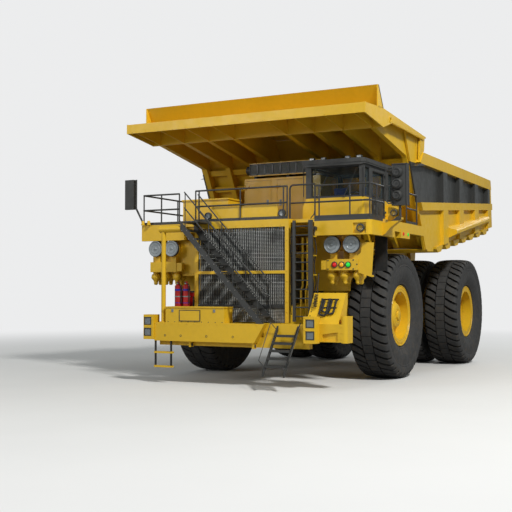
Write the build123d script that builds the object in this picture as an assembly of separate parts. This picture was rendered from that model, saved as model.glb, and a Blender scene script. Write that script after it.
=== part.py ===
from build123d import *
import os
from math import atan2, cos, degrees, hypot, radians, sin

# Rigid mining dump truck with its bed down.  Millimetres; +X is the truck's left (the cab's side),
# +Y runs aft and +Z up, with the origin on the ground at the middle of the length and the width.
# Every station below is measured aft of the front axle, and write() moves it to that origin.

# ---- running gear ---------------------------------------------------------------------------
WHEELBASE = 6350.0
TYRE_R = 1787.5            # 40.00R57 tyre, unloaded
TYRE_HALF_W = 558.0
BEAD_R = 728.0             # tyre bore, on the 57 inch rim
BEAD_HALF_W = 368.0
FLANGE_R = 872.0
RIM_WALL = 36.0
FIT = 0.3                  # gap between faces that seat on each other
PIN_FIT = 0.05             # running clearance of pins and shafts, radial
CLEAR = 6.0                # least gap between pieces that move past each other
FRONT_TYRE_X = 2820.0
REAR_OUTER_X = 3010.0
DUAL_PITCH = 1340.0
KINGPIN_X = 1750.0
STEER_ARM = 640.0          # kingpin to tie rod ball, straight aft
AXLE_Z = TYRE_R

# ---- chassis --------------------------------------------------------------------------------
RAIL_IN, RAIL_OUT = 650.0, 950.0
BED_PIVOT_Y, BED_PIVOT_Z = 7750.0, 3500.0
BED_PIN_R = 95.0
PAD_GAP = 10.0             # between the frame rails and the bed's bolsters, filled by the pads
HOIST_X = 1190.0
HOIST_FOOT_Y, HOIST_FOOT_Z = 4000.0, 1250.0
HOIST_HEAD_Y, HOIST_HEAD_Z = 3150.0, 3350.0
HOIST_BARREL_R = 185.0
HOIST_PIN_R = 80.0
HOIST_EYE_R = 170.0
HOIST_EYE_W = 230.0
HOIST_EAR_GAP = 120.0      # centre line to the inner face of each ear on the bed
NOSE_REACH = 5150.0        # front axle to the foot of the boarding ladder
TAIL_REACH = 9600.0        # front axle to the tail of the bed
BUMPER_Y = -4500.0
BUMPER_Z = (1150.0, 1650.0)
BUMPER_DEPTH = 380.0

# ---- decks, cab and boxes -------------------------------------------------------------------
DECK_Z = 4400.0
DECK_T = 90.0
DECK_BACK = 1000.0
DECK_LEFT, DECK_RIGHT = 3640.0, -3500.0
DECK_LEFT_FRONT, DECK_RIGHT_FRONT = -3450.0, -3300.0
WALK_X = (-1500.0, 1440.0)
WALK_FRONT = -3720.0
RAIL_H = 870.0             # handrail height over the deck
RAIL_R = 24.0
RAIL_END = 400.0           # aft end of the side rails, short of the bed
BEAM_DEPTH = 460.0         # of the deck's front beams, from the deck's top
BEAM_Z = DECK_Z - BEAM_DEPTH
CLEANER_R = 225.0
CAB_X = (1500.0, 3170.0)
CAB_Y = (-2750.0, -400.0)
CAB_SILL_Z = DECK_Z + 600.0
CAB_ROOF_Z = DECK_Z + 1630.0
CAB_ROOF_T = 150.0
CAB_WALL = 90.0
POST_W = 125.0
GLASS_T = 12.0
CABINET_X = (-1070.0, 1380.0)
CABINET_Y = (-1500.0, -700.0)
CABINET_TOP = DECK_Z + 1400.0
GRIDS_Z = (CABINET_TOP + 100.0, CABINET_TOP + 440.0)
GRIDS_X = (-890.0, 1380.0)
BOX_X = (-2150.0, -680.0)
BOX_Y = (-3200.0, -2480.0)
BOX_TOP = DECK_Z + 650.0
LID_T = 40.0
SHEET = 40.0               # folded sheet walls of cabinets and boxes
GRILLE_X = 1444.0
GRILLE_Y = -3720.0
BATTERY_X = (-1885.0, -60.0)
BATTERY_Z = (1650.0, 2050.0)
BATTERY_DEPTH = 460.0
MIRROR_REACH = 4300.0
DECK_CORNER_R = 130.0      # rounded left front corner of the deck
TOE_H = 80.0               # toe boards under the handrails
LAMP_BOX_X = (2245.0, 2565.0)
LAMP_BOX_Z = (1185.0, 1855.0)
LAMP_BAYS = ((1275.0, 1495.0), (1575.0, 1790.0))
WING_Y = -4300.0
WING_END = (3224.0, 87.0)  # centre and radius of the wing's rounded end
BRACKET_Z = (3040.0, 3330.0)   # box that carries the dust cups and side lamps

# ---- dump body ------------------------------------------------------------------------------
BED_HALF_W = 3645.0        # over the side posts
POST_DEPTH = 145.0         # how far the posts stand out from the side wall
PANEL_T = 60.0
PANEL_X = BED_HALF_W - POST_DEPTH - PANEL_T    # inner face of the side walls
SKIN_T = 38.0              # lower skin outside the side wall
SHELF_OUT = (270.0, 80.0)  # how far the deflector stands out from the posts, fore and aft
FLOOR_FRONT = (1500.0, 3790.0)
FLOOR_TAIL = (TAIL_REACH, 4985.0)
FLOOR_T = 60.0
LEDGE = 20.0               # step down in the floor that the front wall stands on
LIP_Y = -3850.0
LIP_Z = (7010.0, 7270.0)
CROSS_Y, CROSS_Z = -2500.0, 6830.0
SPILL_TOP_Y, SPILL_TOP_Z = -2900.0, 7900.0
SPILL_FOOT_Y = -2540.0
CANOPY_Z = (7340.0, 7090.0)   # canopy sheet at the spill board and at its aft corner
CANOPY_BACK = 1180.0
WALL_TOP = (0.0, 6420.0)      # outer line of the front wall's stiffeners
WALL_FOOT = (1350.0, 4060.0)
WALL_RIB = 300.0
PLATE = 40.0
EYE_Y, EYE_Z, EYE_R = -1960.0, 7120.0, 55.0   # lifting eyes in the canopy's edges
TOP_RAIL_Z = (6255.0, 6605.0)
MID_RAIL = ((700.0, 5103.0), (9300.0, 5755.0))
MID_RAIL_H = 230.0
SLOT_H = 120.0             # open slot between the middle rail and the lower skin
POSTS = (2970.0, 4830.0, 6800.0, 8660.0)
POST_TOP_W, POST_LOW_W = 450.0, 580.0
RIB_FIRST, RIB_PITCH, RIB_COUNT, RIB_DEPTH = 2660.0, 950.0, 7, 250.0
RIB_REACH = BED_HALF_W - 45.0      # the floor's ribs run out under the side walls

FRONT_AXLE_Y = -(TAIL_REACH - NOSE_REACH) / 2


# ---- small tools ----------------------------------------------------------------------------
def block(x, y, z):
    """Box from spans."""
    return Pos((x[0] + x[1]) / 2, (y[0] + y[1]) / 2, (z[0] + z[1]) / 2) * Box(
        abs(x[1] - x[0]), abs(y[1] - y[0]), abs(z[1] - z[0]))


def side_prism(points, x):
    """Side-view outline of (y, z) points, drawn out across the span x."""
    face = Plane.YZ.offset(min(x)) * Polygon(*points, align=None)
    return extrude(face, amount=abs(x[1] - x[0]), dir=(1, 0, 0))


def front_prism(points, y):
    """Front-view outline of (x, z) points, drawn out along the span y."""
    plane = Plane(origin=(0, min(y), 0), x_dir=(1, 0, 0), z_dir=(0, -1, 0))
    return extrude(plane * Polygon(*points, align=None), amount=abs(y[1] - y[0]), dir=(0, 1, 0))


def plan_prism(points, z):
    """Plan-view outline of (x, y) points, drawn up through the span z."""
    face = Plane.XY.offset(min(z)) * Polygon(*points, align=None)
    return extrude(face, amount=abs(z[1] - z[0]), dir=(0, 0, 1))


def bar(a, b, r):
    """Round bar from point a to point b."""
    a, b = Vector(*a), Vector(*b)
    return Plane(origin=a, z_dir=b - a) * Cylinder(
        r, (b - a).length, align=(Align.CENTER, Align.CENTER, Align.MIN))


def tube_run(points, r):
    """Round rail through the points, with a ball at each bend."""
    run = [bar(a, b, r) for a, b in zip(points, points[1:])]
    balls = [Pos(*p) * Sphere(r + 0.6) for p in points[1:-1]]
    return fuse(run + balls)


def fuse(shapes):
    """One part from shapes that meet."""
    first, rest = shapes[0], shapes[1:]
    return first.fuse(*rest).clean() if rest else first


def disc_x(x, y, z, r):
    """Cylinder along X over the span x."""
    return bar((min(x), y, z), (max(x), y, z), r)


def ring_x(x, y, z, r, bore):
    return disc_x(x, y, z, r) - disc_x((min(x) - 1, max(x) + 1), y, z, bore)


def both(shape):
    """The shape and its twin across the truck's middle."""
    return [shape, mirror(shape, about=Plane.YZ)]


def turned(points, x, y, z):
    """Ring turned about X through (x, y, z) from a section of (offset along X, radius)."""
    face = Plane.XY * Polygon(*points, align=None)
    return Pos(x, y, z) * revolve(face, axis=Axis.X)


def line_at(a, b, y):
    """Height at station y on the line through a and b."""
    return a[1] + (b[1] - a[1]) * (y - a[0]) / (b[0] - a[0])


# ---- wheels ---------------------------------------------------------------------------------
def tyre(x, y):
    """Tyre ring: bead, lower sidewall, bulge, upper sidewall, shoulder and crown."""
    section = [  # (half width, radius)
        (BEAD_HALF_W, BEAD_R), (BEAD_HALF_W, FLANGE_R + 12), (TYRE_HALF_W, TYRE_R * 0.66),
        (TYRE_HALF_W, TYRE_R * 0.83), (TYRE_HALF_W * 0.86, TYRE_R - 50), (TYRE_HALF_W * 0.7, TYRE_R)]
    return turned(section + [(-w, r) for w, r in reversed(section)], x, y, AXLE_Z)


def rim_barrel(x, y, side):
    """Rim with its two flanges: the outer one stands beyond the bead."""
    w, r = BEAD_HALF_W + FIT, BEAD_R - FIT
    section = [(-w - 30, FLANGE_R), (-w, FLANGE_R), (-w, r), (w, r), (w, FLANGE_R), (w + 30, FLANGE_R),
               (w + 30, r - RIM_WALL), (-w - 30, r - RIM_WALL)]
    return turned(section, x, y, AXLE_Z)


HUB_R, SPINDLE_R = 330.0, 200.0


def front_rim(side):
    """Front wheel: rim, dished disc and hub with a cap."""
    x = FRONT_TYRE_X
    inner = BEAD_R - FIT - RIM_WALL
    # (offset along X from the tyre's middle, radius)
    disc = [(60, SPINDLE_R + PIN_FIT), (60, 470), (-40, inner), (60, inner), (150, 480), (300, HUB_R),
            (330, 250), (330, 0), (290, 0), (290, SPINDLE_R + PIN_FIT)]
    wheel = fuse([rim_barrel(x, 0, side), turned(disc, x, 0, AXLE_Z)])
    return wheel if side > 0 else mirror(wheel, about=Plane.YZ)


REAR_SPINDLE_R = 300.0
MOTOR_R = 560.0


def rear_rims(side):
    """Twin rims on one torque tube, with the planetary drive's cover in the outer dish."""
    x_out, x_in = REAR_OUTER_X, REAR_OUTER_X - DUAL_PITCH
    inner = BEAD_R - FIT - RIM_WALL
    mid = (x_out + x_in) / 2
    spacer = turned([(x_in - mid + BEAD_HALF_W + 30, inner),
                     (x_in - mid + BEAD_HALF_W + 30, inner + RIM_WALL),
                     (x_out - mid - BEAD_HALF_W - 30, inner + RIM_WALL), (x_out - mid - BEAD_HALF_W - 30,
                                                                          inner)],
                    mid, WHEELBASE, AXLE_Z)
    drive = [(-60, REAR_SPINDLE_R + PIN_FIT), (-60, inner), (40, inner), (60, 520), (460, 470), (500, 420),
             (560, 400), (560, 0), (420, 0), (420, REAR_SPINDLE_R + PIN_FIT)]
    wheel = fuse([rim_barrel(x_out, WHEELBASE, side), rim_barrel(x_in, WHEELBASE, side), spacer,
                  turned(drive, mid, WHEELBASE, AXLE_Z)])
    return wheel if side > 0 else mirror(wheel, about=Plane.YZ)


def front_tyre(side):
    return tyre(side * FRONT_TYRE_X, 0)


def rear_tyres(side):
    return Compound([tyre(side * REAR_OUTER_X, WHEELBASE),
                     tyre(side * (REAR_OUTER_X - DUAL_PITCH), WHEELBASE)])


# ---- axles and steering ---------------------------------------------------------------------
REAR_STRUT_Y, REAR_STRUT_R, REAR_LUG_Z = WHEELBASE + 780.0, 165.0, 1980.0
STRUT_R, STRUT_ROD_R = 265.0, 180.0
STRUT_Z = (2300.0, 3450.0)
ARM_Z = (1290.0, 1390.0)
TIE_Z = (1180.0, 1280.0)
STEER_PIN = (1330.0, 120.0)    # rod eye on the knuckle arm, x and y
STEER_FOOT = (1060.0, 1330.0)   # barrel's pin on the frame, x and y
STEER_Z = 1480.0


def front_struts():
    """Suspension cylinders on the frame's collar; the knuckle's post turns in each."""
    housing = bar((KINGPIN_X, 0, STRUT_Z[0]), (KINGPIN_X, 0, STRUT_Z[1]), STRUT_R)
    housing -= bar((KINGPIN_X, 0, STRUT_Z[0] - 1), (KINGPIN_X, 0, STRUT_Z[0] + 600), STRUT_ROD_R + PIN_FIT)
    cap = bar((KINGPIN_X, 0, STRUT_Z[1]), (KINGPIN_X, 0, STRUT_Z[1] + 60), STRUT_R - 60)
    saddle = block((COLLAR_OUT + FIT, KINGPIN_X - 150), (-230, 230), (STRUT_Z[0] + 120, STRUT_Z[1] - 150))
    saddle -= bar((KINGPIN_X, 0, STRUT_Z[0]), (KINGPIN_X, 0, STRUT_Z[1]), STRUT_R - 20)
    return Compound(both(fuse([housing, cap, saddle])))


def knuckle(side):
    """Kingpin post, spindle and the two steering arms."""
    post = bar((KINGPIN_X, 0, ARM_Z[0]), (KINGPIN_X, 0, STRUT_Z[0] + 500), STRUT_ROD_R)
    body = bar((KINGPIN_X, 0, ARM_Z[0]), (KINGPIN_X, 0, STRUT_Z[0] - 40), 270)
    spindle = disc_x((KINGPIN_X, FRONT_TYRE_X + 280), 0, AXLE_Z, SPINDLE_R)
    shoulder = disc_x((KINGPIN_X, FRONT_TYRE_X - 60), 0, AXLE_Z, SPINDLE_R + 120)
    arm = block((KINGPIN_X - 110, KINGPIN_X + 110), (0, STEER_ARM), ARM_Z)
    arm_end = bar((KINGPIN_X, STEER_ARM, ARM_Z[0]), (KINGPIN_X, STEER_ARM, ARM_Z[1]), 110)
    ball = bar((KINGPIN_X, STEER_ARM, TIE_Z[0] - 30), (KINGPIN_X, STEER_ARM, ARM_Z[0]), 45)
    lever = plan_prism([(KINGPIN_X, -200), (KINGPIN_X, 200), (STEER_PIN[0] - 70, STEER_PIN[1] + 80),
                        (STEER_PIN[0] - 70, STEER_PIN[1] - 80)], ARM_Z)
    knob = fuse([post, body, spindle, shoulder, arm, arm_end, ball, lever])
    return knob if side > 0 else mirror(knob, about=Plane.YZ)


def tie_rod():
    """Tube with an eye round each knuckle's ball pin."""
    z = (TIE_Z[0] + TIE_Z[1]) / 2
    rod = disc_x((-KINGPIN_X + 90, KINGPIN_X - 90), STEER_ARM, z, 48)
    eyes = [bar((s * KINGPIN_X, STEER_ARM, TIE_Z[0]), (s * KINGPIN_X, STEER_ARM, TIE_Z[1]), 95)
            for s in (1, -1)]
    pins = [bar((s * KINGPIN_X, STEER_ARM, TIE_Z[0] - 40), (s * KINGPIN_X, STEER_ARM, TIE_Z[1] + 5),
                45 + PIN_FIT)
            for s in (1, -1)]
    return fuse([rod] + eyes).cut(*pins)


def steering_axis():
    """Unit vector from the barrel's pin to the rod's eye, and the distance between them."""
    dx, dy = STEER_PIN[0] - STEER_FOOT[0], STEER_PIN[1] - STEER_FOOT[1]
    reach = hypot(dx, dy)
    return dx / reach, dy / reach, reach


def along(side, distance):
    """Point on the steering cylinder's centre line, counted from the barrel's pin."""
    ux, uy, _ = steering_axis()
    return side * (STEER_FOOT[0] + ux * distance), STEER_FOOT[1] + uy * distance, STEER_Z


def steering_barrel(side):
    _, _, reach = steering_axis()
    eye = bar((side * STEER_FOOT[0], STEER_FOOT[1], STEER_Z - 60),
              (side * STEER_FOOT[0], STEER_FOOT[1], STEER_Z + 60), 85)
    tube = bar(along(side, 70), along(side, reach - 290), 80)
    bore = bar(along(side, 120), along(side, reach), 40 + FIT)
    pin = bar((side * STEER_FOOT[0], STEER_FOOT[1], STEER_Z - 70),
              (side * STEER_FOOT[0], STEER_FOOT[1], STEER_Z + 70), 40 + PIN_FIT)
    return fuse([eye, tube]).cut(bore, pin)


def steering_rod(side):
    _, _, reach = steering_axis()
    rod = bar(along(side, 420), along(side, reach - 60), 40)
    x, y, _ = along(side, reach)
    eye = bar((x, y, ARM_Z[1] + CLEAR), (x, y, STEER_Z + 50), 78)
    return fuse([rod, eye])


def rear_axle():
    """Drive housing with a wheel motor and a spindle at each end, its nose and the pivot ball."""
    mid = REAR_OUTER_X - DUAL_PITCH / 2
    banjo = disc_x((-900, 900), WHEELBASE, AXLE_Z, 640)
    motors = [disc_x((s * 850, s * (mid - 80)), WHEELBASE, AXLE_Z, MOTOR_R) for s in (1, -1)]
    spindles = [disc_x((s * 850, s * (mid + 400)), WHEELBASE, AXLE_Z, REAR_SPINDLE_R) for s in (1, -1)]
    nose = side_prism([(4050, 1650), (4050, 2050), (WHEELBASE - 400, 2250), (WHEELBASE - 400, 1400)],
                      (-260, 260))
    lugs = both(block((RAIL_IN + 20, RAIL_OUT - 20), (WHEELBASE + 300, REAR_STRUT_Y + 160),
                      (1720, REAR_LUG_Z)))
    return fuse([banjo] + motors + spindles + [nose] + lugs)


def rear_struts():
    """Suspension cylinders from the axle up to the frame's outriggers."""
    x, y = (RAIL_IN + RAIL_OUT) / 2, REAR_STRUT_Y
    top = line_at(RAIL_LOW[1], RAIL_LOW[0], y - REAR_STRUT_R) - FIT
    lower = bar((x, y, REAR_LUG_Z + FIT), (x, y, top - 300), REAR_STRUT_R - 35)
    upper = bar((x, y, REAR_LUG_Z + 380), (x, y, top), REAR_STRUT_R)
    return Compound(both(fuse([lower, upper])))


# ---- chassis --------------------------------------------------------------------------------
COLLAR_OUT = 1330.0
RAIL_TOP = ((-4080.0, 1600.0), (-3700.0, 1640.0), (-2900.0, 2050.0), (2700.0, 2450.0), (3900.0, 3290.0),
            (BED_PIVOT_Y, BED_PIVOT_Z + 334.0), (7930.0, 3740.0))
RAIL_LOW = ((7930.0, 3250.0), (4900.0, 2750.0), (3000.0, 1500.0), (-3100.0, 1260.0), (-4080.0, 1260.0))


def main_frame():
    """Two box rails kicked up over the rear axle, with the front collar and cross members."""
    rails = both(side_prism(list(RAIL_TOP) + list(RAIL_LOW), (RAIL_IN, RAIL_OUT)))
    collar = both(side_prism([(-260, 1900), (-260, 3500), (-120, 3700), (120, 3700), (260, 3500),
                              (260, 1900)],
                             (RAIL_OUT - 20, COLLAR_OUT)))
    arch = block((-COLLAR_OUT, COLLAR_OUT), (-180, 180), (3500, 3700))
    front = block((-RAIL_OUT, RAIL_OUT), (-4080, -3900), (1300, 1620))
    middle = disc_x((-RAIL_OUT, RAIL_OUT), HOIST_FOOT_Y - 300, 2300, 160)
    rear = disc_x((-RAIL_OUT, RAIL_OUT), BED_PIVOT_Y - 250, BED_PIVOT_Z - 60, 130)
    kick = disc_x((-RAIL_OUT, RAIL_OUT), 5000, 3100, 120)
    posts = both(block((RAIL_OUT - 200, RAIL_OUT), (500, 700), (2100, DECK_Z - DECK_T)))
    feet, pins = [], []
    for s in (1, -1):
        feet.append(side_prism([(HOIST_FOOT_Y - 300, 2300), (HOIST_FOOT_Y - 150, HOIST_FOOT_Z - 130),
                                (HOIST_FOOT_Y + 150, HOIST_FOOT_Z - 130), (HOIST_FOOT_Y + 100, 2400)],
                               (s * (RAIL_IN + 40), s * (RAIL_OUT + 40))))
        pins.append(disc_x((s * RAIL_OUT, s * (HOIST_X + HOIST_EYE_W / 2 + 40)), HOIST_FOOT_Y, HOIST_FOOT_Z,
                           HOIST_PIN_R))
    ties = both(block((RAIL_OUT - 20, STEER_FOOT[0] + 85), (STEER_FOOT[1] - 100, STEER_FOOT[1] + 100),
                      (STEER_Z + 88, STEER_Z + 200)))
    steer_pins = [bar((s * STEER_FOOT[0], STEER_FOOT[1], STEER_Z - 60),
                      (s * STEER_FOOT[0], STEER_FOOT[1], STEER_Z + 100), 40)
                  for s in (1, -1)]
    hold = fuse(rails + collar + [arch, front, middle, rear, kick] + posts + feet + pins + ties + steer_pins)
    return hold.cut(*[disc_x((s * (RAIL_IN - 40), s * (RAIL_OUT + 40)), BED_PIVOT_Y, BED_PIVOT_Z,
                             BED_PIN_R + PIN_FIT)
                      for s in (1, -1)])


def engine_block():
    """Engine and alternator as one plain mass between the rails."""
    mass = block((-600, 600), (-3000, 480), (1900, 3450))
    feet = [block((s * 590, s * (RAIL_IN - FIT)), (y, y + 200), (2000, 2040)) for s in (1, -1)
            for y in (-2600, 100)]
    return fuse([mass] + feet)


def radiator():
    """Core and side tanks behind the grille."""
    core = block((-GRILLE_X + 140, GRILLE_X - 140), (GRILLE_Y + 120 + FIT, GRILLE_Y + 480), (2100, 4120))
    return core


def grille():
    """Posts, rails and bars in front of the radiator, with the guard hoop on the right."""
    y = (GRILLE_Y, GRILLE_Y + 120)
    posts = both(block((GRILLE_X - 110, GRILLE_X), y, (BUMPER_Z[1], DECK_Z - DECK_T)))
    rails = [block((-GRILLE_X, GRILLE_X), y, (a, b)) for a,
             b in ((DECK_Z - 200, DECK_Z - DECK_T), (2960, 3040), (2050, 2130))]
    bars = [block((x - 16, x + 16), (GRILLE_Y + 40, GRILLE_Y + 80), (2050, DECK_Z - 150))
            for x in range(-1240, 1300, 124)]
    return fuse(posts + rails + bars)


def guard_hoop():
    """Heavy tube that guards the right front corner, with its foot on the bumper."""
    y = BUMPER_Y + 120
    post = bar((-2030, y, BUMPER_Z[1]), (-2030, y, 4180), 62)
    top = bar((-2140, y, 4180), (-1446, y, 4180), 92)
    stay = bar((-1560, y, 4180), (-1560, GRILLE_Y + 60, 4180), 50)
    foot = block((-1610, -GRILLE_X - FIT), (GRILLE_Y, GRILLE_Y + 100), (4110, 4250))
    flange = bar((-2030, y, BUMPER_Z[1]), (-2030, y, BUMPER_Z[1] + 20), 100)
    return fuse([post, top, stay, foot, flange])


def lamp_box(side):
    """Box at the end of the bumper with two square bays for the headlamps."""
    y = BUMPER_Y - 56
    box = block((side * LAMP_BOX_X[0], side * LAMP_BOX_X[1]), (y, BUMPER_Y + 250), LAMP_BOX_Z)
    bays = [block((side * (LAMP_BOX_X[1] - 255), side * (LAMP_BOX_X[1] - 18)), (y - 1, y + 60), z)
            for z in LAMP_BAYS]
    return box.cut(*bays)


def wing():
    """Left wing: a round-ended beam with a gusset hole, and the tread panel that climbs back from it."""
    x, r = WING_END
    z = (1220, 1670)
    beam = block((2240, x), (WING_Y, -3900), z)
    end = bar((x, WING_Y + r, 1200), (x, WING_Y + r, 1870), r)
    tail = block((x - r, x + r), (WING_Y + r, -3900), (1200, 1870))
    hole = front_prism([(2650, 1245), (2650, 1410), (3070, 1470), (3070, 1245)], (WING_Y - 1, WING_Y + 50))
    climb = side_prism([(WING_Y + 40, z[1] - 1), (-3740, 2450), (-3680, 2450), (-3680, 2300),
                        (-3960, z[1] - 1)], (2190, 3070))
    rib = side_prism([(WING_Y + 60, z[1] - 1), (-3740, 2452), (-3640, 2452), (-3640, 2200), (-3900, z[0]),
                      (-3960, z[0])],
                     (3030, 3072))
    return fuse([beam.cut(hole), end, tail, climb, rib])


def tow_eye(x):
    y = BUMPER_Y + 130
    eye = side_prism([(y - 90, BUMPER_Z[0] + 10), (y + 90, BUMPER_Z[0] + 10), (y + 70, BUMPER_Z[0] - 150),
                      (y - 70, BUMPER_Z[0] - 150)],
                     (x - 30, x + 30))
    return eye - disc_x((x - 31, x + 31), y, BUMPER_Z[0] - 80, 38)


def front_bumper():
    """Bumper beam with its lamp boxes, tow eyes and the wing on the left."""
    y = (BUMPER_Y, BUMPER_Y + BUMPER_DEPTH)
    beam = front_prism([(-2250, BUMPER_Z[1]), (-2250, BUMPER_Z[0]), (820, BUMPER_Z[0]), (1120, BUMPER_Z[1])],
                       y)
    low = block((-2200, 2300), (BUMPER_Y + 200, BUMPER_Y + BUMPER_DEPTH), (1030, 1300))
    arms = both(block((RAIL_IN, RAIL_OUT), (BUMPER_Y + BUMPER_DEPTH - 20, -4080 - FIT), (1280, 1600)))
    step = block((1000, 2262), (BUMPER_Y + 200, BUMPER_Y + BUMPER_DEPTH), (1290, BUMPER_Z[1]))
    ties = both(block((950, 2150), (-4050, -3900), (1300, 1600)))
    side = block((2050, 2260), (BUMPER_Y + 300, -3900), (1300, 1600))
    right = block((-2250, -2050), (BUMPER_Y + 300, -3900), (1300, 1600))
    eyes = [tow_eye(x) for x in (-1150, 760)]
    return fuse([beam, low, step, side, right, wing()] + [lamp_box(s) for s in (1, -1)] + arms + ties + eyes)


# ---- tanks ----------------------------------------------------------------------------------
def side_tanks():
    """Fuel tank on the left, hydraulic tank on the right, each on two saddles from the frame."""
    fuel = block((1460, 3000), (2480, 4200), (1050, 2650))
    fuel = fillet(fuel.edges().filter_by(Axis.Y), 180)
    oil = block((-2700, -1460), (2500, 4100), (1200, 2500))
    oil = fillet(oil.edges().filter_by(Axis.Y), 180)
    arms = [block((RAIL_OUT + FIT, 1500), (2560, 2700), (1800, 2100)),
            block((-1500, -RAIL_OUT - FIT), (2560, 2700), (1800, 2100))]
    return Compound([fuse([fuel, arms[0]]), fuse([oil, arms[1]])])


# ---- decks ----------------------------------------------------------------------------------
def corner_round(shape, x, y, r):
    """Rounds the upright edge of a shape at plan corner (x, y)."""
    edges = [e for e in shape.edges().filter_by(Axis.Z)
             if abs(e.center().X - x) < 1 and abs(e.center().Y - y) < 1]
    return fillet(edges, r)


def left_deck_beam():
    """Deep beam round the left front corner, with a recess for the corner lamp."""
    z = (BEAM_Z + 10, DECK_Z - DECK_T + 1)
    outline = [(2060, DECK_LEFT_FRONT), (DECK_LEFT, DECK_LEFT_FRONT), (DECK_LEFT, -1650),
               (DECK_LEFT - 120, -1650),
               (DECK_LEFT - 120, DECK_LEFT_FRONT + 120), (2060, DECK_LEFT_FRONT + 120)]
    beam = corner_round(plan_prism(outline, z), DECK_LEFT, DECK_LEFT_FRONT, DECK_CORNER_R)
    bay = block((3151, 3500), (DECK_LEFT_FRONT - 1, DECK_LEFT_FRONT + 40), (3985, 4254))
    return beam - bay


def mirror_arm():
    """Curved arm that carries the left mirror out from the deck's corner, with its lamp bracket."""
    x, y = DECK_LEFT, (-2600, -2400)
    arm = front_prism([(x - 60, 3955), (x + 60, 3985), (3850, 4156), (4144, 4372), (4150, 4410),
                       (4049, 4451), (3920, 4350),
                       (3731, 4291), (x - 60, 4300)], y)
    stay = front_prism([(3733, DECK_Z - 120), (3733, DECK_Z + 308), (3900, DECK_Z + 290),
                        (4050, DECK_Z + 219), (4049, DECK_Z + 40), (3920, DECK_Z - 60)], (-2430, -2400))
    return [arm, stay]


def fender_wall(side):
    """Sheet that closes the wheel arch in front, from the deck down."""
    x, y = (side * 1500, side * 2650), (-2440, -2400)
    return block(x, y, (2500, DECK_Z - DECK_T + 1))


def header_panel():
    """Blank panel on two feet over the front of the walkway."""
    feet = [block((x, x + 60), (-3640, -3560), (DECK_Z - 1, DECK_Z + 80)) for x in (-860, 940)]
    return [block((-930, 1080), (-3645, -3615), (DECK_Z + 60, DECK_Z + 400))] + feet


def deck():
    """Deck plates with their beams below."""
    z = (DECK_Z - DECK_T, DECK_Z)
    outline = [(DECK_RIGHT, DECK_BACK), (DECK_RIGHT, DECK_RIGHT_FRONT), (WALK_X[0], DECK_RIGHT_FRONT),
               (WALK_X[0], WALK_FRONT), (WALK_X[1], WALK_FRONT), (WALK_X[1], DECK_LEFT_FRONT),
               (DECK_LEFT, DECK_LEFT_FRONT), (DECK_LEFT, DECK_BACK)]
    plate = corner_round(plan_prism(outline, z), DECK_LEFT, DECK_LEFT_FRONT, DECK_CORNER_R)
    right = block((DECK_RIGHT, -2050), (DECK_RIGHT_FRONT, DECK_RIGHT_FRONT + 120),
                  (BEAM_Z, DECK_Z - DECK_T + 1))
    sides = [block((DECK_LEFT - 120, DECK_LEFT), (-1651, DECK_BACK), (DECK_Z - 280, DECK_Z - DECK_T + 1)),
             block((DECK_RIGHT, DECK_RIGHT + 120), (DECK_RIGHT_FRONT, DECK_BACK),
                   (DECK_Z - 320, DECK_Z - DECK_T + 1))]
    lamp_box = block((DECK_LEFT - 118, DECK_LEFT + 20), (-1180, -420), (3960, 4200))
    joists = [block((x, x + 80), (-3340, DECK_BACK - 100), (DECK_Z - 180, DECK_Z - DECK_T + 1))
              for x in (-2720, -1400, 1320, 2640)]
    walls = [fender_wall(s) for s in (1, -1)]
    return fuse([plate, left_deck_beam(), right, lamp_box] + sides + joists + walls + mirror_arm()
                + header_panel())


def rail_run(corners, posts):
    """Top and middle rails along plan corners, a toe board at their foot, and posts at plan points."""
    top, mid = DECK_Z + RAIL_H, DECK_Z + RAIL_H / 2
    pieces = [tube_run([(x, y, z) for x, y in corners], RAIL_R) for z in (top, mid)]
    pieces += [bar((x, y, DECK_Z), (x, y, top + 5), RAIL_R - 4) for x, y in posts]
    for (ax, ay), (bx, by) in zip(corners, corners[1:]):
        pieces.append(block((min(ax, bx) - 6, max(ax, bx) + 6), (min(ay, by) - 6, max(ay, by) + 6),
                            (DECK_Z, DECK_Z + TOE_H)))
    return fuse(pieces)


def between(a, b, bays):
    """Points that split a straight run into equal bays, both ends included."""
    return [(a[0] + (b[0] - a[0]) * k / bays, a[1] + (b[1] - a[1]) * k / bays) for k in range(bays + 1)]


def handrails():
    """Rails round the decks."""
    left, front = DECK_LEFT - 45, DECK_LEFT_FRONT + 45
    right, back = DECK_RIGHT + 45, DECK_RIGHT_FRONT + 45
    near, walk = -2370, WALK_FRONT + 45
    a, b, c = (2060, front), (left, front), (left, near)
    runs = [([a, b, c], [a, (2180, front), (3045, front), b, (left, -2900), c])]
    a, b = (left, -525), (left, RAIL_END)
    runs.append(([a, b], [a, b]))
    a, b = (WALK_X[0] + 60, walk), (WALK_X[1] - 60, walk)
    runs.append(([a, b], between(a, b, 2) + [(a[0] + 110, walk), (b[0] - 110, walk)]))
    a, b, c = (right, RAIL_END), (right, back), (-2240, back)
    runs.append(([a, b, c], between(a, b, 4) + between(b, c, 2)[1:]))
    return Compound([rail_run(*run) for run in runs])


HINGE_R, HINGE_PIN_R, HINGE_H, HINGE_OFF = 20.0, 9.0, 60.0, 22.0


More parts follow.
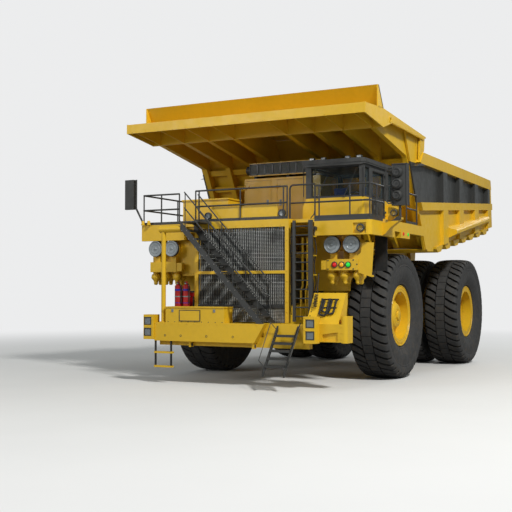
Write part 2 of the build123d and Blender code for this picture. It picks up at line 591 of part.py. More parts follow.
def butt_hinge(x, y, z, out, leaf):
    """Butt hinge on an upright pin at (x, y): its fixed half and its moving half.

    out is the unit (x, y) that points away from the wall, leaf the one that points along the door."""
    def half(way, z0, z1):
        xs = sorted((x, x + way * leaf[0] * 110 - out[0] * HINGE_OFF, x - out[0] * HINGE_OFF))
        ys = sorted((y, y + way * leaf[1] * 110 - out[1] * HINGE_OFF, y - out[1] * HINGE_OFF))
        strap = block((xs[0], xs[-1]), (ys[0], ys[-1]), (z0, z1))
        return fuse([bar((x, y, z0), (x, y, z1), HINGE_R), strap])
    fixed = fuse([half(-1, z - HINGE_H, z - 1), bar((x, y, z - 2), (x, y, z + HINGE_H - 2), HINGE_PIN_R)])
    moving = half(1, z, z + HINGE_H) - bar((x, y, z - 1), (x, y, z + HINGE_H + 1), HINGE_PIN_R + PIN_FIT)
    return fixed, moving


def lid_hinge(x, y, z):
    """Hinge on a pin along X behind a lid: its fixed knuckle with the pin, and its moving knuckle."""
    r, length = HINGE_R, HINGE_H
    fixed = fuse([disc_x((x, x + length), y, z, r),
                  block((x, x + length), (y - r - 8, y), (z - 60, z - r / 2)),
                  disc_x((x + length - 1, x + 2 * length), y, z, HINGE_PIN_R)])
    arm = block((x + length + 1, x + 2 * length), (y - r - 8, y), (z + 2, z + r - 2))
    moving = fuse([disc_x((x + length + 1, x + 2 * length), y, z, r), arm])
    return fixed, moving - disc_x((x + length, x + 2 * length + 1), y, z, HINGE_PIN_R + PIN_FIT)


def box_hinges():
    return [lid_hinge(x, BOX_Y[1] + 30 + HINGE_R + CLEAR, BOX_TOP + FIT)
            for x in (BOX_X[0] + 200, BOX_X[1] - 320)]


def battery_hinges():
    return [lid_hinge(x, BUMPER_Y + BATTERY_DEPTH + HINGE_R + CLEAR, BATTERY_Z[1] + FIT)
            for x in (BATTERY_X[0] + 200, BATTERY_X[1] - 320)]


def door_hinges():
    x, y = CAB_X[1] + HINGE_OFF, DOOR_Y[1] - SEAM / 2
    return [butt_hinge(x, y, z, (1, 0), (0, -1)) for z in (DECK_Z + 250, CAB_SILL_Z + 700)]


def cabinet_hinges(k):
    x, y = CAB_DOORS[k][0] + SEAM / 2, CABINET_Y[0] - HINGE_OFF
    return [butt_hinge(x, y, z, (0, -1), (1, 0)) for z in (DECK_Z + 250, CABINET_TOP - 250)]


# ---- cab ------------------------------------------------------------------------------------
DOOR_Y = (-2175.0, -1115.0)
SEAM = 8.0


def cab_base():
    """Lower cab: floor and walls up to the sill, with its shoulder and the doorway open."""
    shell = corner_round(block(CAB_X, CAB_Y, (DECK_Z, CAB_SILL_Z)), CAB_X[1], CAB_Y[0], 60)
    room = block((CAB_X[0] + CAB_WALL, CAB_X[1] - CAB_WALL), (CAB_Y[0] + CAB_WALL, CAB_Y[1] - CAB_WALL),
                 (DECK_Z + 60, CAB_SILL_Z + 1))
    doorway = block((CAB_X[1] - CAB_WALL - 1, CAB_X[1] + 1), DOOR_Y, (DECK_Z + 60, CAB_SILL_Z + 1))
    shoulder = front_prism([(CAB_X[0] + 1, DECK_Z), (CAB_X[0] - 95, DECK_Z), (CAB_X[0] - 95, DECK_Z + 385),
                            (CAB_X[0] + 1, DECK_Z + 560)],
                           (CAB_Y[0], CAB_Y[1] - 900))
    locker = block((CAB_X[1] - 1, CAB_X[1] + 160), (CAB_Y[1] - 560, CAB_Y[1] - 20), (DECK_Z, DECK_Z + 500))
    seam = block((3026, 3034), (CAB_Y[0] - 1, CAB_Y[0] + 6), (DECK_Z - 1, DECK_Z + 330))
    return fuse([shell.cut(room, doorway), shoulder, locker, door_hinges()[0][0]]) - seam


def cab_frame():
    """Window posts and the roof."""
    z = (CAB_SILL_Z + FIT, CAB_ROOF_Z - CAB_ROOF_T)
    shell = block(CAB_X, CAB_Y, z)
    room = block((CAB_X[0] + CAB_WALL, CAB_X[1] - CAB_WALL), (CAB_Y[0] + CAB_WALL, CAB_Y[1] - CAB_WALL),
                 (z[0] - 1, z[1] + 1))
    side = (CAB_X[1] - CAB_WALL - 1, CAB_X[1] + 1)
    cuts = [block(x, y, win) for x, y, win in cab_windows()] + [block(side, DOOR_Y, (z[0] - 1, z[1] - 40))]
    roof = plan_prism([(CAB_X[0] - 60, CAB_Y[0] - 80), (CAB_X[1] - 40, CAB_Y[0] - 80),
                       (CAB_X[1] + 50, CAB_Y[0] - 10),
                       (CAB_X[1] + 50, CAB_Y[1] + 40), (CAB_X[0] - 60, CAB_Y[1] + 40)], (z[1] - 1,
                                                                                         CAB_ROOF_Z))
    gutter = plan_prism([(CAB_X[0] - 75, CAB_Y[0] - 95), (CAB_X[1] - 30, CAB_Y[0] - 95),
                         (CAB_X[1] + 65, CAB_Y[0] - 20),
                         (CAB_X[1] + 65, CAB_Y[1] + 50), (CAB_X[0] - 75, CAB_Y[1] + 50)], (z[1] + 40,
                                                                                           z[1] + 60))
    return fuse([shell.cut(room, *cuts), roof, gutter, door_hinges()[1][0]])


def cab_windows():
    """Window cuts as (x span, y span, z span): windscreen, back, right, quarter light and left rear."""
    z0, z1 = CAB_SILL_Z + FIT, CAB_ROOF_Z - CAB_ROOF_T
    win = (z0 + 40, z1 - 60)
    left = (CAB_X[1] - CAB_WALL - 1, CAB_X[1] + 1)
    return [((CAB_X[0] + POST_W + 40, CAB_X[1] - POST_W), (CAB_Y[0] - 1, CAB_Y[0] + CAB_WALL + 1), win),
            ((CAB_X[0] + POST_W, CAB_X[1] - POST_W), (CAB_Y[1] - CAB_WALL - 1, CAB_Y[1] + 1), win),
            ((CAB_X[0] - 1, CAB_X[0] + CAB_WALL + 1), (CAB_Y[0] + POST_W, CAB_Y[1] - POST_W), win),
            (left, (CAB_Y[0] + POST_W - 20, DOOR_Y[0] - 150), win),
            (left, (DOOR_Y[1] + 280, CAB_Y[1] - POST_W), win)]


def cab_glass():
    """Panes, each set in the middle of its window with its edges against the posts."""
    panes = []
    for x, y, z in cab_windows():
        spans = []
        for low, high in (x, y):
            thin = high - low < CAB_WALL + 3
            spans.append(((low + high - GLASS_T) / 2, (low + high + GLASS_T) / 2) if thin else (low + FIT,
                                                                                                high - FIT))
        panes.append(block(spans[0], spans[1], (z[0] + FIT, z[1] - FIT)))
    return Compound(panes)


def cab_door():
    """Door with its window cut, hinged at its aft edge."""
    x = (CAB_X[1] - CAB_WALL + SEAM, CAB_X[1])
    y = (DOOR_Y[0] + SEAM, DOOR_Y[1] - SEAM)
    z = (DECK_Z + 60 + SEAM, CAB_ROOF_Z - CAB_ROOF_T - 40 - SEAM)
    leaf = block(x, y, z)
    window = block((x[0] - 1, x[1] + 1), (y[0] + 90, y[1] - 90), (CAB_SILL_Z + 40, z[1] - 80))
    return fuse([leaf.cut(window)] + [h[1] for h in door_hinges()])


def cab_door_glass():
    x = CAB_X[1] - CAB_WALL / 2
    y = (DOOR_Y[0] + SEAM + 90 + FIT, DOOR_Y[1] - SEAM - 90 - FIT)
    z1 = CAB_ROOF_Z - CAB_ROOF_T - 40 - SEAM - 80 - FIT
    return block((x - GLASS_T, x), y, (CAB_SILL_Z + 40 + FIT, z1))


def cab_interior():
    """Operator's and trainer's seats, console and steering wheel."""
    floor = DECK_Z + 60 + FIT
    pad, hand = DECK_Z + 350, DECK_Z + 700           # undersides of the cushions, middle of the steering wheel
    def seat(x):
        base = block((x - 160, x + 160), (-1750, -1400), (floor, pad))
        cushion = block((x - 250, x + 250), (-1850, -1330), (pad, pad + 130))
        back = side_prism([(-1450, pad + 130), (-1330, pad + 130), (-1230, pad + 810), (-1340, pad + 830)],
                          (x - 240, x + 240))
        return fuse([base, cushion, back])
    column = bar((2700, -2380, floor + 20), (2700, -2180, hand + 10), 50)
    dash = block((1750, 2950), (CAB_Y[0] + CAB_WALL + FIT, -2350), (floor, hand - 140))
    wheel = Plane(origin=(2700, -2180, hand), z_dir=(0, 0.35, 1)) * Torus(200, 18)
    hub = Plane(origin=(2700, -2180, hand), z_dir=(0, 0.35, 1)) * Box(400, 40, 24)
    return Compound([seat(2700), seat(1950), fuse([dash, column, hub, wheel])])


# ---- cabinets and boxes ---------------------------------------------------------------------
CAB_DOORS = ((-1030.0, -190.0), (0.0, 850.0))


def control_cabinet():
    """Electrical cabinet open at the front behind its two doors."""
    shell = block(CABINET_X, CABINET_Y, (DECK_Z, CABINET_TOP))
    cuts = [block((a, b), (CABINET_Y[0] - 1, CABINET_Y[1] - SHEET), (DECK_Z + 60, CABINET_TOP - 60)) for a,
            b in CAB_DOORS]
    return fuse([shell.cut(*cuts)] + [h[0] for k in (0, 1) for h in cabinet_hinges(k)])


def cabinet_door(k):
    a, b = CAB_DOORS[k]
    leaf = block((a + SEAM, b - SEAM), (CABINET_Y[0], CABINET_Y[0] + SHEET),
                 (DECK_Z + 60 + SEAM, CABINET_TOP - 60 - SEAM))
    return fuse([leaf] + [h[1] for h in cabinet_hinges(k)])


def retard_grids():
    """Louvred resistor box on top of the cabinet, with its blower at the right end."""
    y = (CABINET_Y[0], CABINET_Y[1] + 500)
    case = block(GRIDS_X, y, GRIDS_Z)
    legs = [block((x, x + 90), (CABINET_Y[0] + 100, CABINET_Y[1] - 100), (CABINET_TOP, GRIDS_Z[0]))
            for x in (-800, 250, 1200)]
    z = (GRIDS_Z[0] + GRIDS_Z[1]) / 2
    end = disc_x((GRIDS_X[0] - 170, GRIDS_X[0]), CABINET_Y[0] + 200, z, 130)
    return fuse([case, end] + legs)


def deck_box():
    """Open-topped box on the right deck, with the fixed halves of its lid's hinges."""
    shell = block(BOX_X, BOX_Y, (DECK_Z, BOX_TOP))
    shell -= block((BOX_X[0] + SHEET, BOX_X[1] - SHEET), (BOX_Y[0] + SHEET, BOX_Y[1] - SHEET),
                   (DECK_Z + SHEET, BOX_TOP + 1))
    feet = [block((x + 2, x + HINGE_H - 2), (BOX_Y[1] - 1, BOX_Y[1] + 40), (BOX_TOP - 60, BOX_TOP - 12))
            for x in (BOX_X[0] + 200, BOX_X[1] - 320)]
    return fuse([shell] + feet + [h[0] for h in box_hinges()])


def deck_box_lid():
    z = BOX_TOP + FIT
    lid = block((BOX_X[0] - 30, BOX_X[1] + 30), (BOX_Y[0] - 30, BOX_Y[1] + 30), (z, z + LID_T))
    return fuse([lid] + [h[1] for h in box_hinges()])


def battery_box():
    back = BUMPER_Y + BATTERY_DEPTH
    shell = block(BATTERY_X, (BUMPER_Y, back), BATTERY_Z)
    shell -= block((BATTERY_X[0] + SHEET, BATTERY_X[1] - SHEET), (BUMPER_Y + SHEET, back - SHEET),
                   (BATTERY_Z[0] + SHEET, BATTERY_Z[1] + 1))
    return fuse([shell] + [h[0] for h in battery_hinges()])


def battery_lid():
    z = BATTERY_Z[1] + FIT
    lid = block((BATTERY_X[0] - 20, BATTERY_X[1] + 20), (BUMPER_Y - 20, BUMPER_Y + BATTERY_DEPTH),
                (z, z + 30))
    return fuse([lid] + [h[1] for h in battery_hinges()])


def air_cleaners():
    """Two canisters a side under the deck, over a bracket box with dust cups and a side plate."""
    y = (-3270.0, -2640.0)
    low, high = BRACKET_Z
    top = BEAM_Z - CLEANER_R - 5
    parts = [block((2337, 3217), y, BRACKET_Z), block((2165, 2338), (y[0] + 20, y[0] + 160), (3060, 3300))]
    for x in (2490, 3030):
        parts.append(bar((x, y[0], top), (x, y[0] + 90, top), CLEANER_R))
        parts.append(bar((x, y[0] + 89, top), (x, y[1], top), CLEANER_R - 50))
        parts.append(block((x - 90, x + 90), (y[0] + 90, y[1] - 60), (high - 1, 3600)))
        parts.append(block((x - 60, x + 60), (y[0] + 200, y[1] - 100), (BEAM_Z - 80, DECK_Z - DECK_T)))
    for x in (2413, 2780, 3142):
        for k in (-3090, -2850):
            parts.append(Pos(x, k, low - 70) * Cone(62, 85, 142))
            parts.append(Pos(x, k, low - 230) * Cone(26, 60, 180))
    plate = front_prism([(3216, 2972), (3570, 2859), (3633, 3741), (3400, 3760), (3315, 3704), (3278, 3482),
                         (3060, 3329),
                         (3216, 3329)], (y[0] + 20, y[0] + 50))
    foot = front_prism([(3216, 2972), (3570, 2859), (3575, 2900), (3216, 3012)], (y[0] + 20, y[0] + 200))
    rack = fuse(parts)
    return Compound([fuse([rack, plate, foot]), mirror(rack, about=Plane.YZ)])


# ---- access ---------------------------------------------------------------------------------
def stringers(a, b, x, depth, thick):
    """Two side plates from station a = (y, z) down to b."""
    (ay, az), (by, bz) = a, b
    return [side_prism([(ay, az), (ay, az - depth), (by, bz - depth), (by, bz)], (x0, x0 + thick))
            for x0 in x]


def stair_point(t, rise=0.0):
    """(x, z) on the stair's line, t from 0 at the walkway to 1 at the bumper, raised by rise."""
    (ax, az), (bx, bz) = STAIR_TOP, STAIR_FOOT
    return ax + (bx - ax) * t, az + (bz - az) * t + rise


STAIR_TOP, STAIR_FOOT, STEPS = (-1440.0, DECK_Z), (1100.0, BUMPER_Z[1]), 11


def stairway():
    """Diagonal stair across the grille, from the walkway down to the bumper, with its handrails."""
    top, foot = STAIR_TOP, STAIR_FOOT
    y = (BUMPER_Y + 20, GRILLE_Y - 40)
    sides = [front_prism([top, (top[0], top[1] - 230), (foot[0] - 210, foot[1]), foot], (a, a + 12))
             for a in (y[0], y[1] - 12)]
    steps = []
    for k in range(1, STEPS + 1):
        x, z = stair_point(k / (STEPS + 1))
        steps.append(block((x - 190, x + 40), y, (z - 60, z - 30)))
    rails = []
    for a in (y[0] + 6, y[1] - 6):
        for rise in (900, 480):
            rails.append(bar(*[(x, a, z) for x, z in (stair_point(0.05, rise), stair_point(0.94, rise))],
                             18))
        for t in (0.06, 0.35, 0.64, 0.93):
            rails.append(bar(*[(x, a, z) for x, z in (stair_point(t, -60), stair_point(t, 906))], 14))
    landing = block((top[0] - 40, top[0] + 500), (y[1] - 30, GRILLE_Y - FIT), (DECK_Z - 60, DECK_Z))
    platform = block((-1500, -900), (y[0], GRILLE_Y - FIT), (DECK_Z - 60, DECK_Z - 20))
    return fuse(sides + steps + rails + [landing, platform])


def ladder_rungs(x, a, b, count):
    (ay, az), (by, bz) = a, b
    return [bar((x[0], ay + (by - ay) * k / (count + 1), az + (bz - az) * k / (count + 1)),
                (x[1], ay + (by - ay) * k / (count + 1),
                 az + (bz - az) * k / (count + 1)), 18) for k in range(1, count + 1)]


def ladders():
    """Boarding ladder in front of the bumper with its grab rails, and the upright ladder beside the grille."""
    x = (1400.0, 1980.0)
    head, foot = (BUMPER_Y + 200 - FIT, 1600.0), (-NOSE_REACH, 480.0)
    fold = stringers(head, foot, x, 110, 24)
    fold += ladder_rungs((x[0] + 10, x[1] + 14), (head[0] - 15, head[1] - 60), (foot[0] - 5, foot[1] - 40),
                         5)
    for gx, sign in ((x[0] + 12, -1), (x[1] + 12, 1)):
        a, b = (gx, head[0] - 60, head[1] - 100), (gx, foot[0] + 120, foot[1] + 100)
        out = [(px + sign * 130, py - 90, pz + 190) for px, py, pz in (a, b)]
        fold.append(tube_run([a, out[0], out[1], b], 10))
    ux = (1600.0, 2050.0)
    upright = [block((a, a + w), (-3820, -3750), (1700 + FIT, DECK_Z + top)) for a, w,
               top in ((ux[0], 70, -60), (ux[1], 110, -60))]
    upright += [bar((ux[0] + 30, -3785, z), (ux[1] + 60, -3785, z), 18) for z in range(1835, 4300, 235)]
    upright += [block((ux[1] + 20, ux[1] + 90), (-3760, DECK_LEFT_FRONT - FIT), (4100, 4180))]
    return Compound([fuse(fold), fuse(upright)])


def hanging_steps():
    """Two steps on straps under the right end of the bumper."""
    x = (-2250.0, -1750.0)
    straps = [block((a, a + 30), (BUMPER_Y + 20, BUMPER_Y + 80), (430, BUMPER_Z[0])) for a in x]
    treads = [block((x[0] - 10, x[1] + 40), (BUMPER_Y + 10, BUMPER_Y + 150), (z, z + 50))
              for z in (430, 810)]
    return fuse(straps + treads)


def fire_bottles():
    """Two bottles beside the grille, on the bumper's right."""
    bracket = block((-2000, -GRILLE_X - FIT), (GRILLE_Y - 30, GRILLE_Y), (2350, 2450))
    cradle = block((-2000, -1500), (GRILLE_Y - 245, GRILLE_Y), (2020, 2050))
    back = block((-2000, -1500), (GRILLE_Y - 20, GRILLE_Y), (2020, 2450))
    bottles = []
    for x in (-1880, -1620):
        bottles.append(bar((x, GRILLE_Y - 135, 2050), (x, GRILLE_Y - 135, 2640), 105))
        bottles.append(Pos(x, GRILLE_Y - 135, 2665) * Cone(105, 45, 50))
        bottles.append(bar((x, GRILLE_Y - 135, 2660), (x, GRILLE_Y - 135, 2760), 32))
    return fuse([bracket, cradle, back] + bottles)


def mirrors():
    """Mirror heads: the left on the deck's curved arm, the right on an arm from the deck's edge."""
    y = -2500
    z = (DECK_Z + 340, DECK_Z + 1430)
    head = corner_round(block((3890, MIRROR_REACH), (y - 55, y + 95), z), MIRROR_REACH, y - 55, 45)
    head = corner_round(head, 3890, y - 55, 45)
    loop = tube_run([(3960, y, z[0] + 140), (3720, y, z[0] + 140), (3720, y, z[1] - 95),
                     (3960, y, z[1] - 95)], 20)
    stem = bar((4090, y, DECK_Z + 32 + FIT), (4090, y, z[0] + 20), 32)
    left = fuse([head, loop, stem, bar((4090, y, 4436), (4090, y, 4460), 50)]) - mirror_pad()
    y, z = -3000, (DECK_Z + 510, DECK_Z + 1390)
    edge, out = DECK_RIGHT, -MIRROR_REACH
    head = corner_round(block((out, out + 330), (y - 55, y + 60), z), out, y - 55, 40)
    post = bar((out + 390, y, z[0]), (out + 390, y, z[1]), 26)
    joins = [bar((out + 300, y, a), (out + 390, y, a), 18) for a in (z[0] + 120, z[1] - 120)]
    arm = bar((out + 390, y, z[0] + 20), (edge - 35, y, DECK_Z - 130), 28)
    foot = block((edge - 40, edge), (y - 80, y + 80), (DECK_Z - 220, DECK_Z - 60))
    return Compound([left, fuse([head, post, arm, foot] + joins)])


def mirror_pad():
    """Everything below the left arm's upper face, so that the stem sits on it."""
    return front_prism([(3920, 4350 + FIT), (4049, 4451 + FIT), (4150, 4410 + FIT), (4150, 4200),
                        (3920, 4200)], (-2700, -2300))


def lamps():
    """Round corner lamp in its recess, the header's two lamps and the lamp beside the left mirror."""
    face = DECK_LEFT_FRONT + 40
    corner = bar((3351, face - 46, 4121), (3351, face, 4121), 106)
    header = [fuse([bar((x, -3645, DECK_Z + 160), (x, -3560, DECK_Z + 160), 105),
                    block((x - 40, x + 40), (-3600, -3560), (DECK_Z, DECK_Z + 200))])
              for x in (-1060, 1210)]
    mirror = bar((3923, -2520, DECK_Z + 145), (3923, -2430 - FIT, DECK_Z + 145), 90)
    return Compound([corner, mirror] + header)


def mudflaps():
    """Rubber flaps ahead of the front tyres, hung from the deck."""
    return Compound([block((edge, edge + s * 348), (-1915, -1885), (3040, DECK_Z - DECK_T - FIT))
                     for s, edge in ((1, 3170), (-1, DECK_RIGHT + 480))])


# ---- hoist ----------------------------------------------------------------------------------
def hoist_line(distance):
    """Point on the hoist's centre line, counted from its foot pin: (y, z)."""
    dy, dz = HOIST_HEAD_Y - HOIST_FOOT_Y, HOIST_HEAD_Z - HOIST_FOOT_Z
    reach = hypot(dy, dz)
    return HOIST_FOOT_Y + dy * distance / reach, HOIST_FOOT_Z + dz * distance / reach


HOIST_REACH = hypot(HOIST_HEAD_Y - HOIST_FOOT_Y, HOIST_HEAD_Z - HOIST_FOOT_Z)
STAGE_R = (HOIST_BARREL_R, 145.0, 105.0)   # outer radii: barrel, second stage, rod
STAGE_GAP = FIT


def stage(side, a, b, r, bore=None, bore_from=None):
    p, q = hoist_line(a), hoist_line(b)
    solid = bar((side * HOIST_X, *p), (side * HOIST_X, *q), r)
    if bore:
        m, n = hoist_line(bore_from), hoist_line(b + 10)
        solid -= bar((side * HOIST_X, *m), (side * HOIST_X, *n), bore)
    return solid


def hoist_barrel(side):
    eye = disc_x((side * (HOIST_X - HOIST_EYE_W / 2), side * (HOIST_X + HOIST_EYE_W / 2)), HOIST_FOOT_Y,
                 HOIST_FOOT_Z, HOIST_EYE_R)
    tube = stage(side, 120, HOIST_REACH - 330, STAGE_R[0], STAGE_R[1] + STAGE_GAP, 190)
    pin = disc_x((side * (HOIST_X - HOIST_EYE_W), side * (HOIST_X + HOIST_EYE_W)), HOIST_FOOT_Y,
                 HOIST_FOOT_Z, HOIST_PIN_R + PIN_FIT)
    keep = stage(side, 190, HOIST_REACH, STAGE_R[1] + STAGE_GAP)
    return fuse([eye, tube]).cut(pin, keep)


def hoist_stage(side):
    return stage(side, 200, HOIST_REACH - 260, STAGE_R[1], STAGE_R[2] + STAGE_GAP, 240)


def hoist_rod(side):
    rod = stage(side, 250, HOIST_REACH - 90, STAGE_R[2])
    eye = disc_x((side * (HOIST_X - 90), side * (HOIST_X + 90)), HOIST_HEAD_Y, HOIST_HEAD_Z, 140)
    return fuse([rod, eye])


# ---- dump body ------------------------------------------------------------------------------
WALL_SLOPE = (WALL_FOOT[0] - WALL_TOP[0]) / (WALL_TOP[1] - WALL_FOOT[1])


def wall_y(z, inward=0.0):
    """Station of the front wall's outer line at height z, moved inward by a normal distance."""
    run = WALL_FOOT[0] + (WALL_FOOT[1] - z) * WALL_SLOPE
    return run + inward * hypot(1, WALL_SLOPE)


def floor_z(y, drop=0.0):
    return line_at(FLOOR_FRONT, FLOOR_TAIL, y) - drop


def wall_foot(inward):
    """Where the front wall's line at a normal distance inward meets the floor's ledge."""
    y = wall_y(FLOOR_FRONT[1], inward)
    for _ in range(20):
        y = wall_y(floor_z(y, LEDGE - FIT), inward)
    return y, floor_z(y, LEDGE - FIT)


def floor_band(y0, y1, top, low):
    """Side-view outline between two stations, with its top and bottom at set drops from the floor."""
    return [(y0, floor_z(y0, top)), (y1, floor_z(y1, top)), (y1, floor_z(y1, low)), (y0, floor_z(y0, low))]


def floor_plate(x):
    """Floor with the ledge that the front wall stands on."""
    front, tail = FLOOR_FRONT[0], FLOOR_TAIL[0]
    step = wall_foot(WALL_RIB + PLATE)[0] + FIT
    return side_prism([(front, floor_z(front, LEDGE)), (step, floor_z(step, LEDGE)), (step, floor_z(step)),
                       (tail, floor_z(tail)), (tail, floor_z(tail, FLOOR_T)),
                       (front, floor_z(front, FLOOR_T))], x)


def floor_rib(y):
    """Hat-shaped cross rib, wide at the floor, with its ends out under the side walls."""
    top = FLOOR_T - 1
    outline = [(y - 330, floor_z(y - 330, top)), (y + 330, floor_z(y + 330, top)),
               (y + 330, floor_z(y + 330, top + 60)), (y + 170, floor_z(y + 170, RIB_DEPTH)),
               (y - 170, floor_z(y - 170, RIB_DEPTH)), (y - 330, floor_z(y - 330, top + 60))]
    return side_prism(outline, (-RIB_REACH, RIB_REACH))


def hanging_ear(y, z, half_foot, half_head, x):
    """Plate that hangs from the floor down past a pin at (y, z)."""
    top = FLOOR_T - 1
    return side_prism([(y - half_head, floor_z(y - half_head, top)), (y - half_foot, z - half_foot + 10),
                       (y + half_foot, z - half_foot + 10), (y + half_head, floor_z(y + half_head, top))], x)


def body_floor():
    """Floor plate with cross ribs, bolsters that lie over the frame rails and the pivot ears."""
    front = FLOOR_FRONT[0]
    x = (-PANEL_X + FIT, PANEL_X - FIT)
    parts = [floor_plate(x)] + [floor_rib(RIB_FIRST + k * RIB_PITCH) for k in range(RIB_COUNT)]
    parts.append(side_prism(floor_band(FLOOR_TAIL[0] - 260, FLOOR_TAIL[0] - 60, FLOOR_T - 1, 220), x))
    back = BED_PIVOT_Y + 500
    aft = BED_PIVOT_Y + 200
    parts += both(side_prism([(front + 300, floor_z(front + 300, FLOOR_T - 1)),
                              (back, floor_z(back, FLOOR_T - 1)),
                              (aft, line_at(RAIL_TOP[4], RAIL_TOP[5], aft) + PAD_GAP),
                              (RAIL_TOP[4][0], RAIL_TOP[4][1] + PAD_GAP), (front + 300, 3400)],
                             (RAIL_IN + 20, RAIL_OUT - 20)))
    for s in (1, -1):
        parts.append(hanging_ear(BED_PIVOT_Y, BED_PIVOT_Z, 190, 420,
                                 (s * (RAIL_OUT + CLEAR), s * (RAIL_OUT + 110))))
        parts.append(disc_x((s * (RAIL_IN + 20), s * (RAIL_OUT + 60)), BED_PIVOT_Y, BED_PIVOT_Z, BED_PIN_R))
        for inner in (HOIST_X - HOIST_EAR_GAP - 60, HOIST_X + HOIST_EAR_GAP):
            parts.append(hanging_ear(HOIST_HEAD_Y, HOIST_HEAD_Z, 130, 300, (s * inner, s * (inner + 60))))
    return fuse(parts)


def body_front_wall():
    """Sloping plate with the outer stiffeners that run up into the canopy's ribs."""
    z1 = CANOPY_Z[1] - 100
    (out_y, out_z), (in_y, in_z) = wall_foot(WALL_RIB), wall_foot(WALL_RIB + PLATE)
    x = (-PANEL_X + FIT, PANEL_X - FIT)
    plate = side_prism([(out_y, out_z), (wall_y(z1, WALL_RIB), z1), (wall_y(z1, WALL_RIB + PLATE), z1),
                        (in_y, in_z)], x)
    top = WALL_TOP[1] - 20
    ribs = [side_prism([(wall_y(WALL_FOOT[1]), WALL_FOOT[1]), (wall_y(top), top),
                        (wall_y(top, WALL_RIB + 1), top),
                        (wall_y(4200, WALL_RIB + 1), 4200), (out_y, out_z), (out_y - 120,
                                                                             floor_z(out_y - 120,
                                                                                     LEDGE - FIT))],
                       (rx - 75, rx + 75)) for rx in RIB_X]
    bands = [side_prism([(wall_y(z, 120), z), (wall_y(z, WALL_RIB + 1), z),
                         (wall_y(z + 160, WALL_RIB + 1), z + 160),
                         (wall_y(z + 160, 120), z + 160)], x) for z in (4300, 5000, 5700, 6200)]
    return fuse([plate] + ribs + bands)


RIB_X = tuple(k * (PANEL_X - 90.0) / 4 for k in (-4, -3, -2, -1, 1, 2, 3, 4))


def canopy_z(y):
    return line_at((SPILL_FOOT_Y, CANOPY_Z[0]), (CANOPY_BACK, CANOPY_Z[1]), y)


def body_canopy():
    """Canopy over the cab: sheet, lip, spill board, cross beam and longitudinal ribs."""
    w = BED_HALF_W
    end = wall_y(CANOPY_Z[1], WALL_RIB + PLATE)
    sheet = side_prism([(LIP_Y, LIP_Z[1]), (SPILL_FOOT_Y, CANOPY_Z[0]), (end, canopy_z(end)),
                        (end, canopy_z(end) - PLATE),
                        (SPILL_FOOT_Y, CANOPY_Z[0] - PLATE), (LIP_Y, LIP_Z[1] - PLATE)], (-w, w))
    lip = block((-w, w), (LIP_Y, LIP_Y + PLATE), LIP_Z)
    spill = side_prism([(SPILL_TOP_Y, SPILL_TOP_Z), (SPILL_TOP_Y + 60, SPILL_TOP_Z),
                        (SPILL_FOOT_Y + 60, CANOPY_Z[0] - 10),
                        (SPILL_FOOT_Y, CANOPY_Z[0] - 10)], (-w, w))
    cross = block((-w, w), (CROSS_Y - 60, CROSS_Y), (CROSS_Z, CANOPY_Z[0] - PLATE + 1))
    edge = side_prism([(LIP_Y, LIP_Z[0]), (LIP_Y, LIP_Z[1]), (SPILL_FOOT_Y, CANOPY_Z[0]),
                       (CANOPY_BACK, CANOPY_Z[1]),
                       (CANOPY_BACK - 180, CANOPY_Z[1] - 90), (EYE_Y + 210, CANOPY_Z[0] - 280),
                       (CROSS_Y, CROSS_Z)], (w - PLATE, w))
    edge -= disc_x((w - PLATE - 1, w + 1), EYE_Y, EYE_Z, EYE_R)
    parts = [sheet, lip, spill, cross] + both(edge)
    top = WALL_TOP[1] - 20
    for rx in RIB_X:
        parts.append(side_prism([(LIP_Y + 10, LIP_Z[0]), (LIP_Y + 10, LIP_Z[1] - 10),
                                 (CROSS_Y, CANOPY_Z[0] - 10), (CROSS_Y, CROSS_Z)],
                                (rx - 12, rx + 12)))
        parts.append(side_prism([(CROSS_Y - 1, CROSS_Z), (CROSS_Y - 1, canopy_z(CROSS_Y) - 10),
                                 (end - 20, canopy_z(end) - 10),
                                 (wall_y(CANOPY_Z[1] - 99, WALL_RIB),
                                  CANOPY_Z[1] - 99), (wall_y(top + FIT, WALL_RIB) , top + FIT),
                                 (wall_y(top + FIT), top + FIT)], (rx - 75, rx + 75)))
    return fuse(parts)


def mid_z(y, drop=0.0):
    return line_at(MID_RAIL[0], MID_RAIL[1], y) - drop


def tail_y(z):
    """Station of the side wall's sloping tail edge at height z."""
    return line_at((TOP_RAIL_Z[1], TAIL_TOP_Y), (MID_RAIL[1][1], TAIL_MID_Y), z)


def tail_foot(drop):
    """Station where the tail edge meets the floor at that drop."""
    y = TAIL_MID_Y
    for _ in range(8):
        y = tail_y(floor_z(y, drop))
    return y


TAIL_TOP_Y, TAIL_MID_Y = 9090.0, 9290.0
SKIN_FRONT = (860.0, 1430.0)     # the lower skin's front edge at its top and at the floor


def side_wall(x):
    """The sheet that holds the load, from the floor's edge up to the top rail."""
    low = FLOOR_T - 1 - FIT
    z = TOP_RAIL_Z[0]
    foot = tail_foot(low)
    return side_prism([(SKIN_FRONT[0], mid_z(SKIN_FRONT[0], 300)), (wall_y(z) + 40, z), (tail_y(z), z),
                       (foot, floor_z(foot, low)), (1640, floor_z(1640, low)), (SKIN_FRONT[1],
                                                                                floor_z(SKIN_FRONT[1],
                                                                                        low))], x)


def lower_skin(x):
    """Outer skin below the middle rail, with the tongue at its front foot."""
    low, drop = FLOOR_T - 1 - FIT, MID_RAIL_H + SLOT_H
    return side_prism([(SKIN_FRONT[0], mid_z(SKIN_FRONT[0], drop)), (9300, mid_z(9300, drop)),
                       (9380, floor_z(9380, low)), (2240, floor_z(2240, low)), (2190, floor_z(2190, 175)),
                       (1650, floor_z(1650, 120)), (SKIN_FRONT[1], floor_z(SKIN_FRONT[1], 0))], x)


